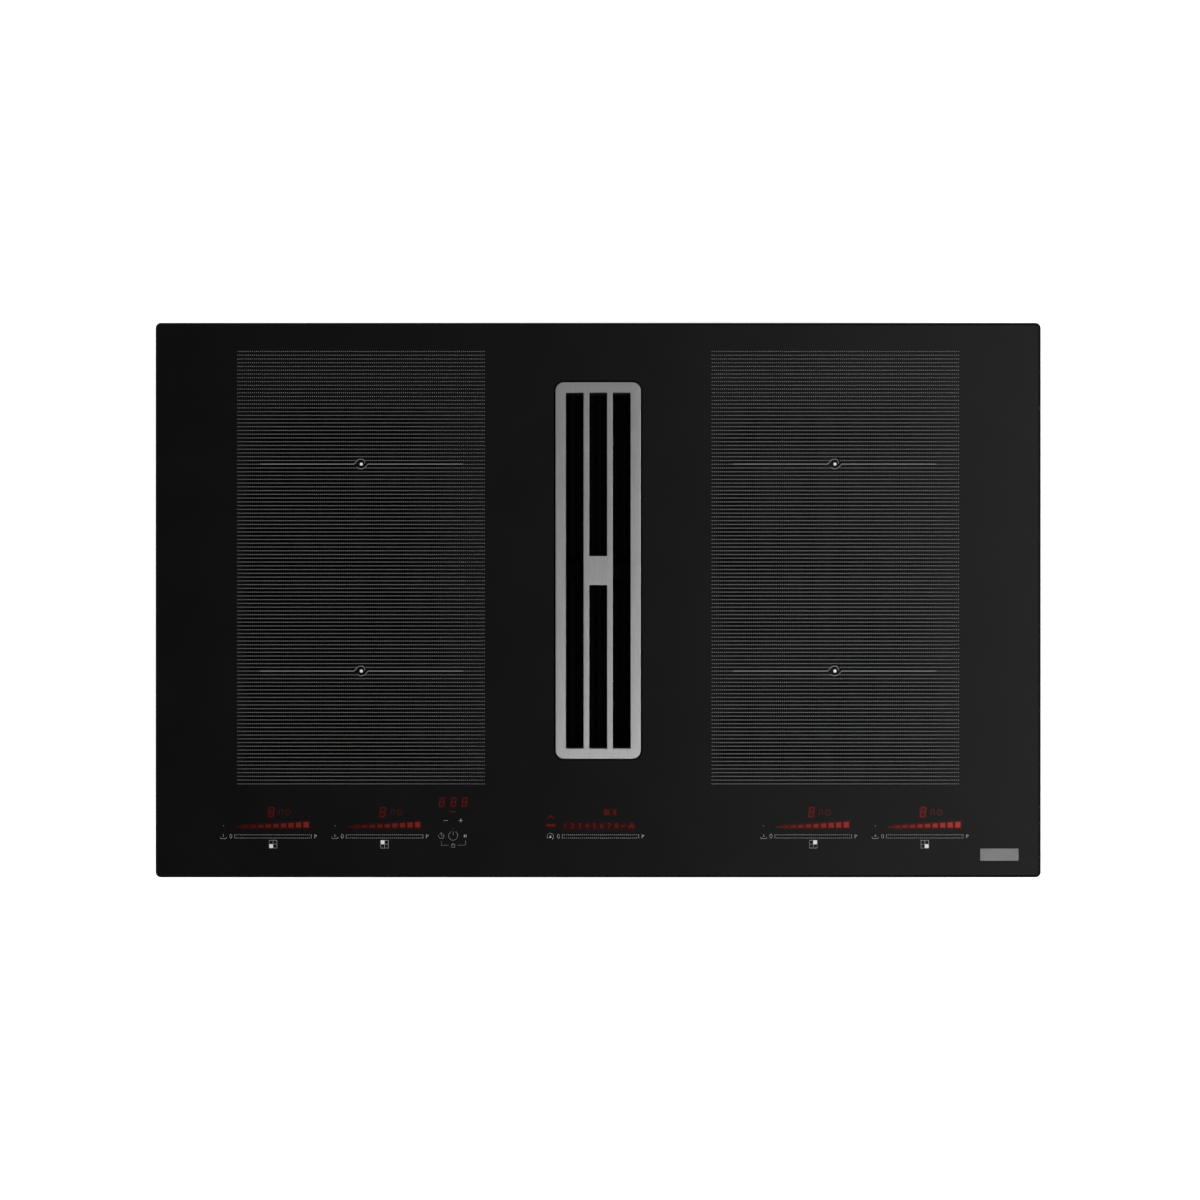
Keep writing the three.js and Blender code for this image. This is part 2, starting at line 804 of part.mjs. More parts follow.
function diffuserOutline(grow, endY) {
  const tongueRadius = voluteRadius(tongueAngle);
  const tongueX = blowerX + tongueRadius * Math.cos(tongueAngle);
  const tongueY = blowerY + tongueRadius * Math.sin(tongueAngle);
  return [
    new THREE.Vector2(blowerX, blowerY),
    new THREE.Vector2(voluteRight + grow, blowerY),
    new THREE.Vector2(voluteRight + grow, endY),
    new THREE.Vector2(spigotLeft - grow, endY),
    new THREE.Vector2(tongueX - grow, tongueY),
  ];
}

function scrollSpace(grow, endY, low, high) {
  return prism(voluteOutline(grow), low, high).add(prism(diffuserOutline(grow, endY), low, high));
}

function blowerScroll() {
  const housing = scrollSpace(scrollWall, scrollEndY, tubFloor, scrollCeiling);
  const passage = scrollSpace(0, scrollEndY + cutPast, tubFloor - cutPast, scrollCeiling + cutPast);
  return housing.subtract(passage);
}

function scrollLid() {
  const eye = drum(
    eyeRadius + inletRingWall + inletRingFit,
    scrollCeiling - cutPast,
    scrollTop + cutPast,
    blowerX,
    blowerY,
    wheelFacets,
  );
  return scrollSpace(scrollWall, scrollEndY, scrollCeiling, scrollTop).subtract(eye);
}

function inletRing() {
  const foot = scrollCeiling - inletRingDrop;
  const throat = eyeRadius + inletRingWall;
  const rim = eyeRadius + inletRingFlange;
  const profile = [
    [eyeRadius, foot],
    [throat, foot],
    [throat, scrollTop],
    [rim, scrollTop],
    [rim, scrollTop + inletRingWall],
    [eyeRadius + bellMouth, scrollTop + inletRingWall],
    [eyeRadius + inletRingWall / 2, scrollTop],
    [eyeRadius, scrollCeiling],
  ];
  return turned(profile, blowerX, blowerY);
}

function outletSpigot() {
  const duct = roundedOutline(spigotWidth, spigotHeight, spigotCornerRadius);
  const bore = roundedOutline(
    spigotWidth - 2 * spigotWall,
    spigotHeight - 2 * spigotWall,
    spigotCornerRadius - spigotWall,
  );
  const flange = roundedOutline(
    spigotWidth + 2 * spigotFlange,
    spigotHeight + 2 * spigotFlange,
    spigotCornerRadius,
  );
  const length = airboxWall + spigotReach;
  const flangeFoot = airboxWall;
  const upright = ringPrism(duct, bore, 0, length)
    .add(ringPrism(flange, bore, flangeFoot, flangeFoot + spigotFlangeThickness));
  return upright.rotate([-90, 0, 0]).translate([spigotX, scrollEndY, spigotZ]);
}

add('blower_scroll', blowerScroll(), looks.darkPlastic);
add('scroll_lid', scrollLid(), looks.darkPlastic);
add('inlet_ring', inletRing(), looks.darkPlastic);
add('outlet_spigot', outletSpigot(), looks.blackPlastic);

// ---------------------------------------------------------------- blower wheel and motor

function blade(innerRadius, outerRadius, sheet, lean, low, high, angle) {
  const length = (outerRadius - innerRadius) / Math.cos(lean);
  const geometry = new THREE.BoxGeometry(length, sheet, high - low);
  geometry.rotateZ(lean);
  geometry.translate((innerRadius + outerRadius) / 2, 0, (low + high) / 2);
  geometry.rotateZ(angle);
  return toSolid(geometry);
}

function bladeRing(count, innerRadius, outerRadius, sheet, lean, low, high) {
  const blades = [];
  for (let i = 0; i < count; i += 1) {
    blades.push(blade(innerRadius, outerRadius, sheet, lean, low, high, (i / count) * 2 * Math.PI));
  }
  return union(blades);
}

function impeller() {
  const domeInner = rotorRadius + rotorFit;
  const domeOuter = domeInner + domeWall;
  const plateTop = wheelUnderside + wheelPlate;
  const hub = turned([
    [domeInner, wheelUnderside],
    [impellerRadius, wheelUnderside],
    [impellerRadius, plateTop],
    [domeOuter, plateTop],
    [domeOuter, rotorTop],
    [domeInner, rotorTop],
  ]);
  const domeTop = drum(domeOuter, rotorTop, rotorTop + domeWall, 0, 0, wheelFacets);
  const hoop = turned([
    [bladeInnerRadius, wheelTop - wheelPlate],
    [impellerRadius, wheelTop - wheelPlate],
    [impellerRadius, wheelTop],
    [bladeInnerRadius, wheelTop],
  ]);
  const blades = bladeRing(
    bladeCount,
    bladeInnerRadius + bladeSheet,
    impellerRadius - bladeSheet,
    bladeSheet,
    bladeLean,
    plateTop - wheelPlate / 2,
    wheelTop - wheelPlate / 2,
  );
  return union([hub, domeTop, hoop, blades]).translate([blowerX, blowerY, 0]);
}

function motorRotor() {
  const cup = drum(rotorRadius, rotorUnderside, rotorTop, blowerX, blowerY, wheelFacets);
  const hollow = drum(
    rotorRadius - rotorWall,
    rotorUnderside - cutPast,
    rotorTop - rotorWall,
    blowerX,
    blowerY,
    wheelFacets,
  );
  return cup.subtract(hollow);
}

const shaftTop = rotorTop - rotorWall;
const shaftFoot = bracketTop + runningGap;

function motorStator() {
  const flangeTop = bracketTop + statorFlange;
  const coreRadius = rotorRadius - rotorWall - statorGap;
  const coreFoot = rotorUnderside + statorGap;
  const coreTop = rotorTop - rotorWall - windingHeadroom;
  const boreRadius = shaftRadius + runningGap;
  const profile = [
    [boreRadius, bracketTop],
    [coreRadius, bracketTop],
    [coreRadius, flangeTop],
    [bearingRadius, flangeTop],
    [bearingRadius, coreFoot],
    [coreRadius, coreFoot],
    [coreRadius, coreTop],
    [bearingRadius, coreTop],
    [bearingRadius, coreTop + statorGap],
    [boreRadius, coreTop + statorGap],
  ];
  return turned(profile, blowerX, blowerY, tubeFacets);
}

function motorBracket() {
  const arms = [];
  for (let i = 0; i < bracketArmCount; i += 1) {
    const arm = box([0, bracketArmLength], about(0, bracketArmWidth), [tubFloor, bracketTop]);
    arms.push(arm.rotate([0, 0, (i / bracketArmCount) * 360 + bracketArmTurn]));
  }
  const plate = drum(bracketRadius, tubFloor, bracketTop, 0, 0, wheelFacets);
  return union([plate, ...arms]).translate([blowerX, blowerY, 0]);
}

add('impeller', impeller(), looks.blackPlastic);
add('motor_rotor', motorRotor(), looks.zincSteel);
add('motor_shaft', drum(shaftRadius, shaftFoot, shaftTop, blowerX, blowerY), looks.zincSteel);
add('motor_stator', motorStator(), looks.copper);
add('motor_bracket', motorBracket(), looks.zincSteel);

// ---------------------------------------------------------------- base pan

function panOutline(inset) {
  const width = panWidth - 2 * inset;
  const depth = panOuterDepth - 2 * inset;
  return roundedOutline(width, depth, Math.max(panCornerRadius - inset, 1));
}

function fanVents(centreX) {
  const slots = [];
  for (let i = -ventSlotReach; i <= ventSlotReach; i += 1) {
    const offset = i * ventSlotPitch;
    const length = 2 * Math.sqrt(fanIntakeRadius ** 2 - offset ** 2);
    slots.push(box(
      about(centreX + offset, ventSlotWidth),
      about(fanY, length),
      [panUnderside - cutPast, panFloor + cutPast],
    ));
  }
  return union(slots);
}

function exhaustVents(sign) {
  const slots = [];
  for (let i = 0; i < exhaustSlotsPerSide; i += 1) {
    const offset = (i - (exhaustSlotsPerSide - 1) / 2) * exhaustSlotPitch;
    slots.push(box(
      about(sign * coilOffsetX + offset, ventSlotWidth),
      about(controlY, exhaustSlotLength),
      [panUnderside - cutPast, panFloor + cutPast],
    ));
  }
  return union(slots);
}

function standoffs(centreX, centreY, width, depth) {
  const posts = [];
  for (const signX of [-1, 1]) {
    for (const signY of [-1, 1]) {
      const x = centreX + signX * (width / 2 - standoffInset);
      const y = centreY + signY * (depth / 2 - standoffInset);
      posts.push(drum(standoffRadius, panUnderside, boardUnderside, x, y, hexFacets));
    }
  }
  return union(posts);
}

function clampBolt(signX, signY) {
  const headTop = clampUnderside - runningGap;
  const [x, y] = [signX * clampBoltX, signY * clampBoltY];
  const shank = drum(clampBoltRadius, headTop - clampHeadThickness, panFloor, x, y, screwFacets);
  const head = drum(clampHeadRadius, headTop - clampHeadThickness, headTop, x, y, screwFacets);
  return shank.add(head);
}

function basePan() {
  const shell = prism(panOutline(0), panUnderside, glassUnderside);
  const inside = prism(panOutline(panSheet), panFloor, glassUnderside - panSheet);
  const mouth = prism(panOutline(panFlange), panFloor, glassUnderside + cutPast);
  const throat = roundedOutline(
    throatOuterWidth + 2 * throatHoleGap,
    throatOuterDepth + 2 * throatHoleGap,
    throatRadius + collarWall + throatHoleGap,
    0,
    grilleSetback,
  );
  const holes = [
    prism(throat, panUnderside - cutPast, panFloor + cutPast),
    drum(cableHoleRadius, panUnderside - cutPast, panFloor + cutPast, terminalX, terminalCentreY),
    fanVents(-fanX),
    fanVents(fanX),
    exhaustVents(-1),
    exhaustVents(1),
  ];
  const fittings = [
    standoffs(-powerBoardX, powerBoardY, powerBoardWidth, powerBoardDepth),
    standoffs(powerBoardX, powerBoardY, powerBoardWidth, powerBoardDepth),
    standoffs(terminalX, mainsBoardY, mainsBoardWidth, mainsBoardDepth),
    clampBolt(-1, -1),
    clampBolt(1, -1),
    clampBolt(-1, 1),
    clampBolt(1, 1),
  ];
  return shell.subtract(inside).subtract(mouth).subtract(union(holes)).add(union(fittings));
}

add('base_pan', basePan(), looks.zincSteel);

// ---------------------------------------------------------------- coils, carriers, sensors

function coilCarrier(sign) {
  const spanX = [carrierInnerX, carrierOuterX];
  const spanY = [carrierFrontY, carrierBackY];
  const table = box(spanX, spanY, [panFloor, carrierTop]);
  const under = box(
    [carrierInnerX + carrierSheet, carrierOuterX - carrierSheet],
    [carrierFrontY - cutPast, carrierBackY + cutPast],
    [panFloor - cutPast, carrierUnderside],
  );
  const pitch = (carrierBackY - carrierFrontY) / carrierWindows;
  const windowZ = about((panFloor + carrierUnderside) / 2, carrierWindowHeight);
  const windows = [];
  for (let i = 0; i < carrierWindows; i += 1) {
    const centre = carrierFrontY + (i + 0.5) * pitch;
    const spanWindow = about(centre, pitch * carrierWindowShare);
    windows.push(box([carrierInnerX - cutPast, carrierOuterX + cutPast], spanWindow, windowZ));
  }
  const carrier = table.subtract(under).subtract(union(windows));
  return sign > 0 ? carrier : carrier.rotate([0, 0, 180]).translate([0, 2 * carrierMidY, 0]);
}

// A flat winding with a groove between its bundles of turns.
function inductionCoil(x, y) {
  const pitch = (coilRadius - coilHoleRadius) / coilBundles;
  const profile = [[coilHoleRadius, carrierTop], [coilRadius, carrierTop]];
  for (let i = coilBundles; i > 0; i -= 1) {
    const outer = coilHoleRadius + i * pitch;
    const inner = outer - pitch;
    profile.push([outer, coilTop - coilGroove]);
    profile.push([outer - pitch * coilBundleRounding, coilTop]);
    profile.push([inner + pitch * coilBundleRounding, coilTop]);
  }
  profile.push([coilHoleRadius, coilTop - coilGroove]);
  return turned(profile, x, y, tubeFacets);
}

function temperatureSensor(x, y) {
  const base = drum(sensorBaseRadius, carrierTop, carrierTop + sensorBaseHeight, x, y);
  return base.add(drum(sensorRadius, carrierTop, glassUnderside, x, y));
}

function insulationSheet(sign) {
  const reach = coilRadius + insulationMargin;
  const sheet = box(
    about(sign * coilOffsetX, 2 * reach),
    [frontCoilY - reach, rearCoilY + reach],
    [coilTop, glassUnderside],
  );
  const holes = [frontCoilY, rearCoilY].map((y) => drum(
    sensorRadius + sensorHoleGap,
    coilTop - cutPast,
    glassUnderside + cutPast,
    sign * coilOffsetX,
    y,
  ));
  return sheet.subtract(union(holes));
}

// ---------------------------------------------------------------- power electronics

function powerBoard(sign) {
  const spanX = about(sign * powerBoardX, powerBoardWidth);
  const spanY = about(powerBoardY, powerBoardDepth);
  const board = box(spanX, spanY, [boardUnderside, boardTop]);
  const capacitors = [];
  for (let i = 0; i < capacitorCount; i += 1) {
    const y = powerBoardY + (i - (capacitorCount - 1) / 2) * capacitorPitch;
    capacitors.push(box(
      about(sign * capacitorX, capacitorWidth),
      about(y, capacitorDepth),
      [boardUnderside, boardTop + capacitorHeight],
    ));
  }
  return union([board, ...capacitors]);
}

function heatsink(sign) {
  const spanX = about(sign * heatsinkX, heatsinkWidth);
  const spanY = about(powerBoardY, heatsinkLength);
  const parts = [box(spanX, spanY, [boardTop, boardTop + heatsinkBase])];
  for (let i = 0; i < heatsinkFins; i += 1) {
    const share = i / (heatsinkFins - 1);
    const x = spanX[0] + heatsinkFin / 2 + share * (heatsinkWidth - heatsinkFin);
    parts.push(box(about(x, heatsinkFin), spanY, [boardTop, boardTop + heatsinkHeight]));
  }
  return union(parts);
}

function mainsBoard() {
  const spanX = about(terminalX, mainsBoardWidth);
  const spanY = about(mainsBoardY, mainsBoardDepth);
  const board = box(spanX, spanY, [boardUnderside, boardTop]);
  const chokeX = terminalX - mainsPartOffset;
  const choke = drum(chokeRadius, boardUnderside, boardTop + chokeHeight, chokeX, mainsBoardY);
  const filterCapacitor = box(
    about(terminalX + mainsPartOffset, capacitorDepth),
    about(mainsBoardY, capacitorWidth),
    [boardUnderside, boardTop + chokeHeight],
  );
  return union([board, choke, filterCapacitor]);
}

// ---------------------------------------------------------------- electronics cooling fans

const fanCeiling = fanTop - fanWall;
const fanHubFoot = panFloor + fanWall + fanEndGap;
const fanHubFloor = fanHubFoot + fanHubWall;
const fanBladeTop = fanCeiling - fanEndGap;
const fanBossRadius = fanHubRadius - fanHubWall - runningGap;

function fanHousing(x) {
  const shell = box(about(x, fanSize), about(fanY, fanSize), [panFloor, fanTop]);
  const cavityFloor = panFloor + fanWall;
  const cavity = drum(fanCavityRadius, cavityFloor, fanCeiling, x, fanY, wheelFacets);
  const outlet = box(
    about(x, fanOutletWidth),
    [fanY - fanSize / 2 - cutPast, fanY],
    [cavityFloor, fanCeiling],
  );
  const intake = drum(fanIntakeRadius, panFloor - cutPast, cavityFloor + cutPast, x, fanY);
  const boss = tube(
    fanBossRadius,
    fanSpindleRadius + runningGap,
    fanHubFloor + fanEndGap,
    fanCeiling,
    x,
    fanY,
  );
  return shell.subtract(union([cavity, outlet, intake])).add(boss);
}

function fanRotor(x) {
  const bladeInner = fanRotorRadius - fanBladeDepth;
  const disc = drum(fanRotorRadius, fanHubFoot, fanHubFloor, 0, 0, wheelFacets);
  const hub = tube(fanHubRadius, fanHubRadius - fanHubWall, fanHubFoot, fanBladeTop);
  const spindle = drum(fanSpindleRadius, fanHubFoot, fanBladeTop, 0, 0, screwFacets);
  const blades = bladeRing(
    fanBladeCount,
    bladeInner,
    fanRotorRadius - fanBladeSheet,
    fanBladeSheet,
    bladeLean,
    fanHubFoot,
    fanBladeTop,
  );
  return union([disc, hub, spindle, blades]).translate([x, fanY, 0]);
}

for (const [side, sign] of [['left', -1], ['right', 1]]) {
  add(`coil_carrier_${side}`, coilCarrier(sign), looks.aluminium);
  add(`insulation_sheet_${side}`, insulationSheet(sign), looks.mica);
  for (const [place, y] of [['front', frontCoilY], ['rear', rearCoilY]]) {
    add(`coil_${place}_${side}`, inductionCoil(sign * coilOffsetX, y), looks.copper);
    add(`sensor_${place}_${side}`, temperatureSensor(sign * coilOffsetX, y), looks.sensorCeramic);
  }
  add(`power_board_${side}`, powerBoard(sign), looks.circuitBoard);
  add(`heatsink_${side}`, heatsink(sign), looks.aluminium);
  add(`fan_housing_${side}`, fanHousing(sign * fanX), looks.blackPlastic);
  add(`fan_rotor_${side}`, fanRotor(sign * fanX), looks.darkPlastic);
}
add('mains_board', mainsBoard(), looks.circuitBoard);

// ---------------------------------------------------------------- touch controls

function controlCarrier() {
  const trayFloor = controlBoardUnderside - controlTraySheet;
  const tray = box(
    about(0, controlWidth + 2 * controlTrayGrow),
    about(controlY, controlDepth + 2 * controlTrayGrow),
    [trayFloor, controlBoardTop],
  );
  const pocket = box(
    about(0, controlWidth + 2 * controlFit),
    about(controlY, controlDepth + 2 * controlFit),
    [controlBoardUnderside, controlBoardTop + cutPast],
  );
  const legs = [];
  for (let i = 0; i < controlLegs; i += 1) {
    const offset = (i - (controlLegs - 1) / 2) * controlLegPitch;
    legs.push(box(
      about(offset, controlLegWidth),
      about(controlY, controlLegWidth),
      [panFloor, controlBoardUnderside],
    ));
  }
  return union([tray.subtract(pocket), ...legs]);
}

const controlBoard = box(
  about(0, controlWidth),
  about(controlY, controlDepth),
  [controlBoardUnderside, controlBoardTop],
);

add('control_carrier', controlCarrier(), looks.darkPlastic);
add('control_board', controlBoard, looks.circuitBoard);

// ---------------------------------------------------------------- terminal box

function terminalBox() {
  const foot = terminalUnderside + terminalWall;
  const shell = box(
    about(terminalX, terminalWidth),
    about(terminalCentreY, terminalDepth),
    [foot, terminalTop],
  );
  const inside = box(
    about(terminalX, terminalWidth - 2 * terminalWall),
    about(terminalCentreY, terminalDepth - 2 * terminalWall),
    [foot - cutPast, terminalTop - terminalWall],
  );
  const wireHole = drum(
    cableHoleRadius,
    terminalTop - terminalWall - cutPast,
    terminalTop + cutPast,
    terminalX,
    terminalCentreY,
  );
  const glandHole = drum(glandThreadRadius + glandFit, -cutPast, terminalWall + cutPast)
    .rotate([-90, 0, 0])
    .translate([terminalX, terminalBack - terminalWall, glandZ]);
  return shell.subtract(inside).subtract(wireHole).subtract(glandHole);
}

function terminalCover() {
  return box(
    about(terminalX, terminalWidth),
    about(terminalCentreY, terminalDepth),
    [terminalUnderside, terminalUnderside + terminalWall],
  );
}

function terminalBlock() {
  const front = terminalBack - terminalDepth + terminalWall;
  return box(
    about(terminalX, terminalBlockWidth),
    [front, front + terminalBlockDepth],
    [terminalTop - terminalWall - terminalBlockHeight, terminalTop - terminalWall],
  );
}

// The gland stands on the box's rear wall, with its bore along Y.
function cableGland() {
  const nutFoot = glandHexThickness;
  const nutTop = nutFoot + glandNutLength;
  const shank = drum(glandThreadRadius, -terminalWall - glandInside, glandHexThickness);
  const hex = drum(glandHexRadius, 0, glandHexThickness, 0, 0, hexFacets);
  const nut = drum(glandThreadRadius + glandFit + glandNutWall, nutFoot, nutTop);
  const bore = drum(glandBoreRadius, -terminalWall - glandInside - cutPast, nutTop + cutPast);
  return union([shank, hex, nut])
    .subtract(bore)
    .rotate([-90, 0, 0])
    .translate([terminalX, terminalBack, glandZ]);
}

add('terminal_box', terminalBox(), looks.blackPlastic);
add('terminal_cover', terminalCover(), looks.blackPlastic);
add('terminal_block', terminalBlock(), looks.terminalPlastic);
add('cable_gland', cableGland(), looks.blackPlastic);

// ---------------------------------------------------------------- mounting brackets

function mountingClamp(signX, signY) {
  const radius = clampWidth / 2;
  const [boltX, screwX, y] = [signX * clampBoltX, signX * clampScrewX, signY * clampBoltY];
  const spanX = [Math.min(boltX, screwX), Math.max(boltX, screwX)];
  const bossFoot = clampUnderside - clampBossDepth;
  const arm = union([
    box(spanX, about(y, clampWidth), [clampUnderside, clampTop]),
    drum(radius, clampUnderside, clampTop, boltX, y),
    drum(radius, bossFoot, clampTop, screwX, y),
  ]);
  const holeRadius = clampBoltRadius + runningGap;
  const boltHole = drum(holeRadius, clampUnderside - cutPast, clampTop + cutPast, boltX, y);
  const screwHole = drum(screwRadius + runningGap, bossFoot - cutPast, clampTop + cutPast, screwX, y);
  return arm.subtract(boltHole).subtract(screwHole);
}

function clampScrew(signX, signY) {
  const tip = clampTop - screwTipDrop;
  const foot = tip - screwLength;
  const [x, y] = [signX * clampScrewX, signY * clampBoltY];
  const shank = drum(screwRadius, foot, tip, x, y, screwFacets);
  return shank.add(drum(screwHeadRadius, foot, foot + screwHeadHeight, x, y, screwFacets));
}

const corners = [
  ['front_left', -1, -1],
  ['front_right', 1, -1],
  ['rear_left', -1, 1],
  ['rear_right', 1, 1],
];
for (const [place, signX, signY] of corners) {
  add(`clamp_${place}`, mountingClamp(signX, signY), looks.zincSteel);
  add(`clamp_screw_${place}`, clampScrew(signX, signY), looks.zincSteel);
}

export default cooktop;
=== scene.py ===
"""Downdraft induction cooktop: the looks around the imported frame.

+X is right, +Y is towards the wall, +Z is up, and the origin is on the worktop surface under the
middle of the glass plate. Sizes are in millimetres and become metres where a mesh is made.
"""

import json
import math

import bmesh
import bpy
from mathutils import Matrix, Vector


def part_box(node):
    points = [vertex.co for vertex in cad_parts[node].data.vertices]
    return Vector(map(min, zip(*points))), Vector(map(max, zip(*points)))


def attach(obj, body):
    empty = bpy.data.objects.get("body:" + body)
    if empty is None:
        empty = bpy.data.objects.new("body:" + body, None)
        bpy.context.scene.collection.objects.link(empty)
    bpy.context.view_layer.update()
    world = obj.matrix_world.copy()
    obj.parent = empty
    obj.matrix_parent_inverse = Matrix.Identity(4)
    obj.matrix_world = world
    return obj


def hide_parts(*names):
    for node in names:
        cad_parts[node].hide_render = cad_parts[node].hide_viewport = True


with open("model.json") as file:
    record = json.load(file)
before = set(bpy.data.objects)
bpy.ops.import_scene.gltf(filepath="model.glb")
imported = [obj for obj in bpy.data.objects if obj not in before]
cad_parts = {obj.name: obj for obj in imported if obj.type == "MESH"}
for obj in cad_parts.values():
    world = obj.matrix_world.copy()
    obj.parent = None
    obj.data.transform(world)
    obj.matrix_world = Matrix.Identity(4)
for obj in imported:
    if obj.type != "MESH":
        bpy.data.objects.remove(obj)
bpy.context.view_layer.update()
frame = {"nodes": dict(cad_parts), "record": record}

MM = 0.001
SMOOTH_ANGLE = math.radians(35)
NOISE_ROUGHNESS = 0.55
LED = (1.0, 0.09, 0.08)

# --- sizes, in millimetres ---

SMALLEST_CORNER = 0.01
EASED_EDGE = 0.25

# Glass plate and intake grille
PLATE = (830, 520)
PLATE_RADIUS = 5
GLASS_UNDERSIDE = 2
GLASS_TOP = 6
GLASS_SOFT_EDGE = 0.3
BEVEL = (2.4, 1.2)
GRILLE = (80, 353)
GRILLE_Y = 27.7
GRILLE_RADIUS = 8
GRILLE_SPAN = (-0.5, 7.5)
GRILLE_GAP = 1.2
SLOT = (16.7, 333.6)
SLOT_PITCH = 22.05
SLOT_CORNER = 0.35
BRIDGE = 27.2

# Print on the glass
INK_LIFT = 0.03
HALO_LIFT = 0.015
ZONE_X = 222.3
ZONE_Y = 30.4
ROW_PITCH = 3.525
ROW_COUNT = 116
DOT_PITCH = 1.94
DOT_COUNT = 120
DOT_RADIUS = 0.46
DOT_SIDES = 6
MARK_Y = (-66.5, 127.5)
MARK_REACH = 95
MARK_RADIUS = 4.7
MARK_DOT = 1.4
MARK_X = 222.0

# The two bent lines of a coil-centre mark, in shares of its radius
MARK_UPPER = ((-1.45, 0), (-0.55, 0.97), (0.3, 0.97), (0.62, 0.6), (0.72, 0.15))
MARK_LOWER = ((1.3, 0), (0.8, -0.62), (0.4, -0.86), (-0.05, -0.97), (-0.52, -0.84), (-0.9, -0.62))

# Touch controls
SLIDER_STARTS = (-341.05, -236.55, 165.3, 269.9)
HOOD_START = -33.6
SLIDER_SPAN = (0.4, 72.2)
HOOD_SPAN = (0.0, 71.5)
SLIDER_ROWS = (-220.0, -223.0)
SLIDER_MIDDLE = -221.5
SLIDER_TICKS = 39
TICK = (0.9, 0.66)
STANDBY_DOT = (-10.2, -211.6)
TRAY_PLACE = (-10.2, -221.6)
ZONE_ICON_PLACE = (36.3, -228.8)
ZONE_ICON_HALF = 3.6
ZONE_ICON_FILL = 3.35
WEDGE_START = 3.4
WEDGE_BARS = 10
WEDGE_PITCH = 7.09
WEDGE_BAR = 4.9
WEDGE_FOOT = -213.15
WEDGE_RISE = (1.0, 5.2)
DIGIT_PLACE = (34.6, -198.8)
DIGIT = (4.3, 8.4)
DIGIT_STROKE = 0.68
DIGIT_SHARE = 0.72
SLANT = 0.17
HOOD_DIGITS = -211.7
HALO = 1.5
TIMER_X = -135.9
TIMER_DIGITS_Y = -189.4
TIMER_DIGITS_X = (-10.6, 0.2, 10.7)
TIMER_DIGIT = (4.0, 7.8)
HOOD_FAN_X = 64.9
BADGE = (36, 11.5)
BADGE_PLACE = (376.0, -238.6)
BADGE_THICKNESS = 0.5

# Air box and its outlet
AIRBOX_X = (-56.2, 312.64)
AIRBOX_Y = (-165.0, 220.4)
AIRBOX_FOOT = -205
TUB_TOP = -59
AIRBOX_WALL = 3
AIRBOX_RADIUS = 12
TUB_FILLET = 5
GROOVE_DEPTH = 0.8
SCREW_SEAT = AIRBOX_FOOT + 1.9
SEAM_FLANGE = 2.2
SEAM_THICKNESS = 3.5
SEAM_EAR = 5.5
RIB = (1.8, 1.4)
RIB_PITCH = 46
BLOWER = (158.14, -29.78)
MOTOR_SCREW_RADIUS = 62
SPIGOT = (222, 89)
SPIGOT_RADIUS = 10
SPIGOT_PLACE = (189.14, 217.4, -152.5)
SPIGOT_WALL = 2
SPIGOT_LENGTH = 33
SPIGOT_FLANGE = 4.5
COLLECTOR = (68, 316)

# Base pan, terminal box and mounting brackets
PAN = (800, 485)
PAN_FOOT = -56
PAN_MIDDLE = -27
SWAGE_WIDTH = 7
SWAGE_PROUD = 0.7
TERMINAL = (84, 78)
TERMINAL_PLACE = (-150, 193)
TERMINAL_FOOT = -92
TERMINAL_SHEET = 2
TERMINAL_SCREW_INSET = 7
GLAND_PLACE = (-150, 232, -74)
CLAMP_SCREW = (409, 200)
CLAMP_SCREW_SPAN = (-107, -57)
CLAMP_SCREW_HEAD = (4.5, 3.5)
THREAD_RADIUS = 2.5
THREAD_DEPTH = 0.4
THREAD_PITCH = 0.8

# The light of each zone's dimmest bar, brightest bar and halo
ZONE_GLOWS = ((0.016, 0.13, 0.012), (0.022, 0.13, 0.012), (0.06, 0.24, 0.028), (0.07, 0.34, 0.036))
ZONE_QUARTERS = ((-1, -1), (-1, 1), (1, 1), (1, -1))
DIGIT_GLOW = 0.44
SYMBOL_GLOW = 0.28

# Turns that lay something built upwards along another direction
DOWN = Matrix.Rotation(math.pi, 3, "X")
FRONT = Matrix.Rotation(math.pi / 2, 3, "X")
BACK = Matrix.Rotation(-math.pi / 2, 3, "X")
LEFT = Matrix.Rotation(-math.pi / 2, 3, "Y")
RIGHT = Matrix.Rotation(math.pi / 2, 3, "Y")


# --- outlines and meshes ---


def around(x, y, radius, angle):
    return x + radius * math.cos(angle), y + radius * math.sin(angle)


def rounded(width, depth, radius, x=0.0, y=0.0, steps=8):
    """A rounded rectangle, counter-clockwise, as a function of how far it grows."""

    def outline(grow=0.0):
        corner = max(radius + grow, SMALLEST_CORNER)
        reach_x, reach_y = width / 2 + grow - corner, depth / 2 + grow - corner
        points = []
        for sign_x, sign_y, start in ((1, 1, 0), (-1, 1, 1), (-1, -1, 2), (1, -1, 3)):
            middle = (x + sign_x * reach_x, y + sign_y * reach_y)
            angles = [(start + i / steps) * math.pi / 2 for i in range(steps + 1)]
            points += [around(*middle, corner, angle) for angle in angles]
        return points

    return outline


def disc(radius, x=0.0, y=0.0, steps=32):
    """A circle as a function of how far it grows."""

    def outline(grow=0.0):
        return [around(x, y, radius + grow, 2 * math.pi * i / steps) for i in range(steps)]

    return outline


def grown(outline, step):
    return lambda grow=0.0: outline(grow + step)


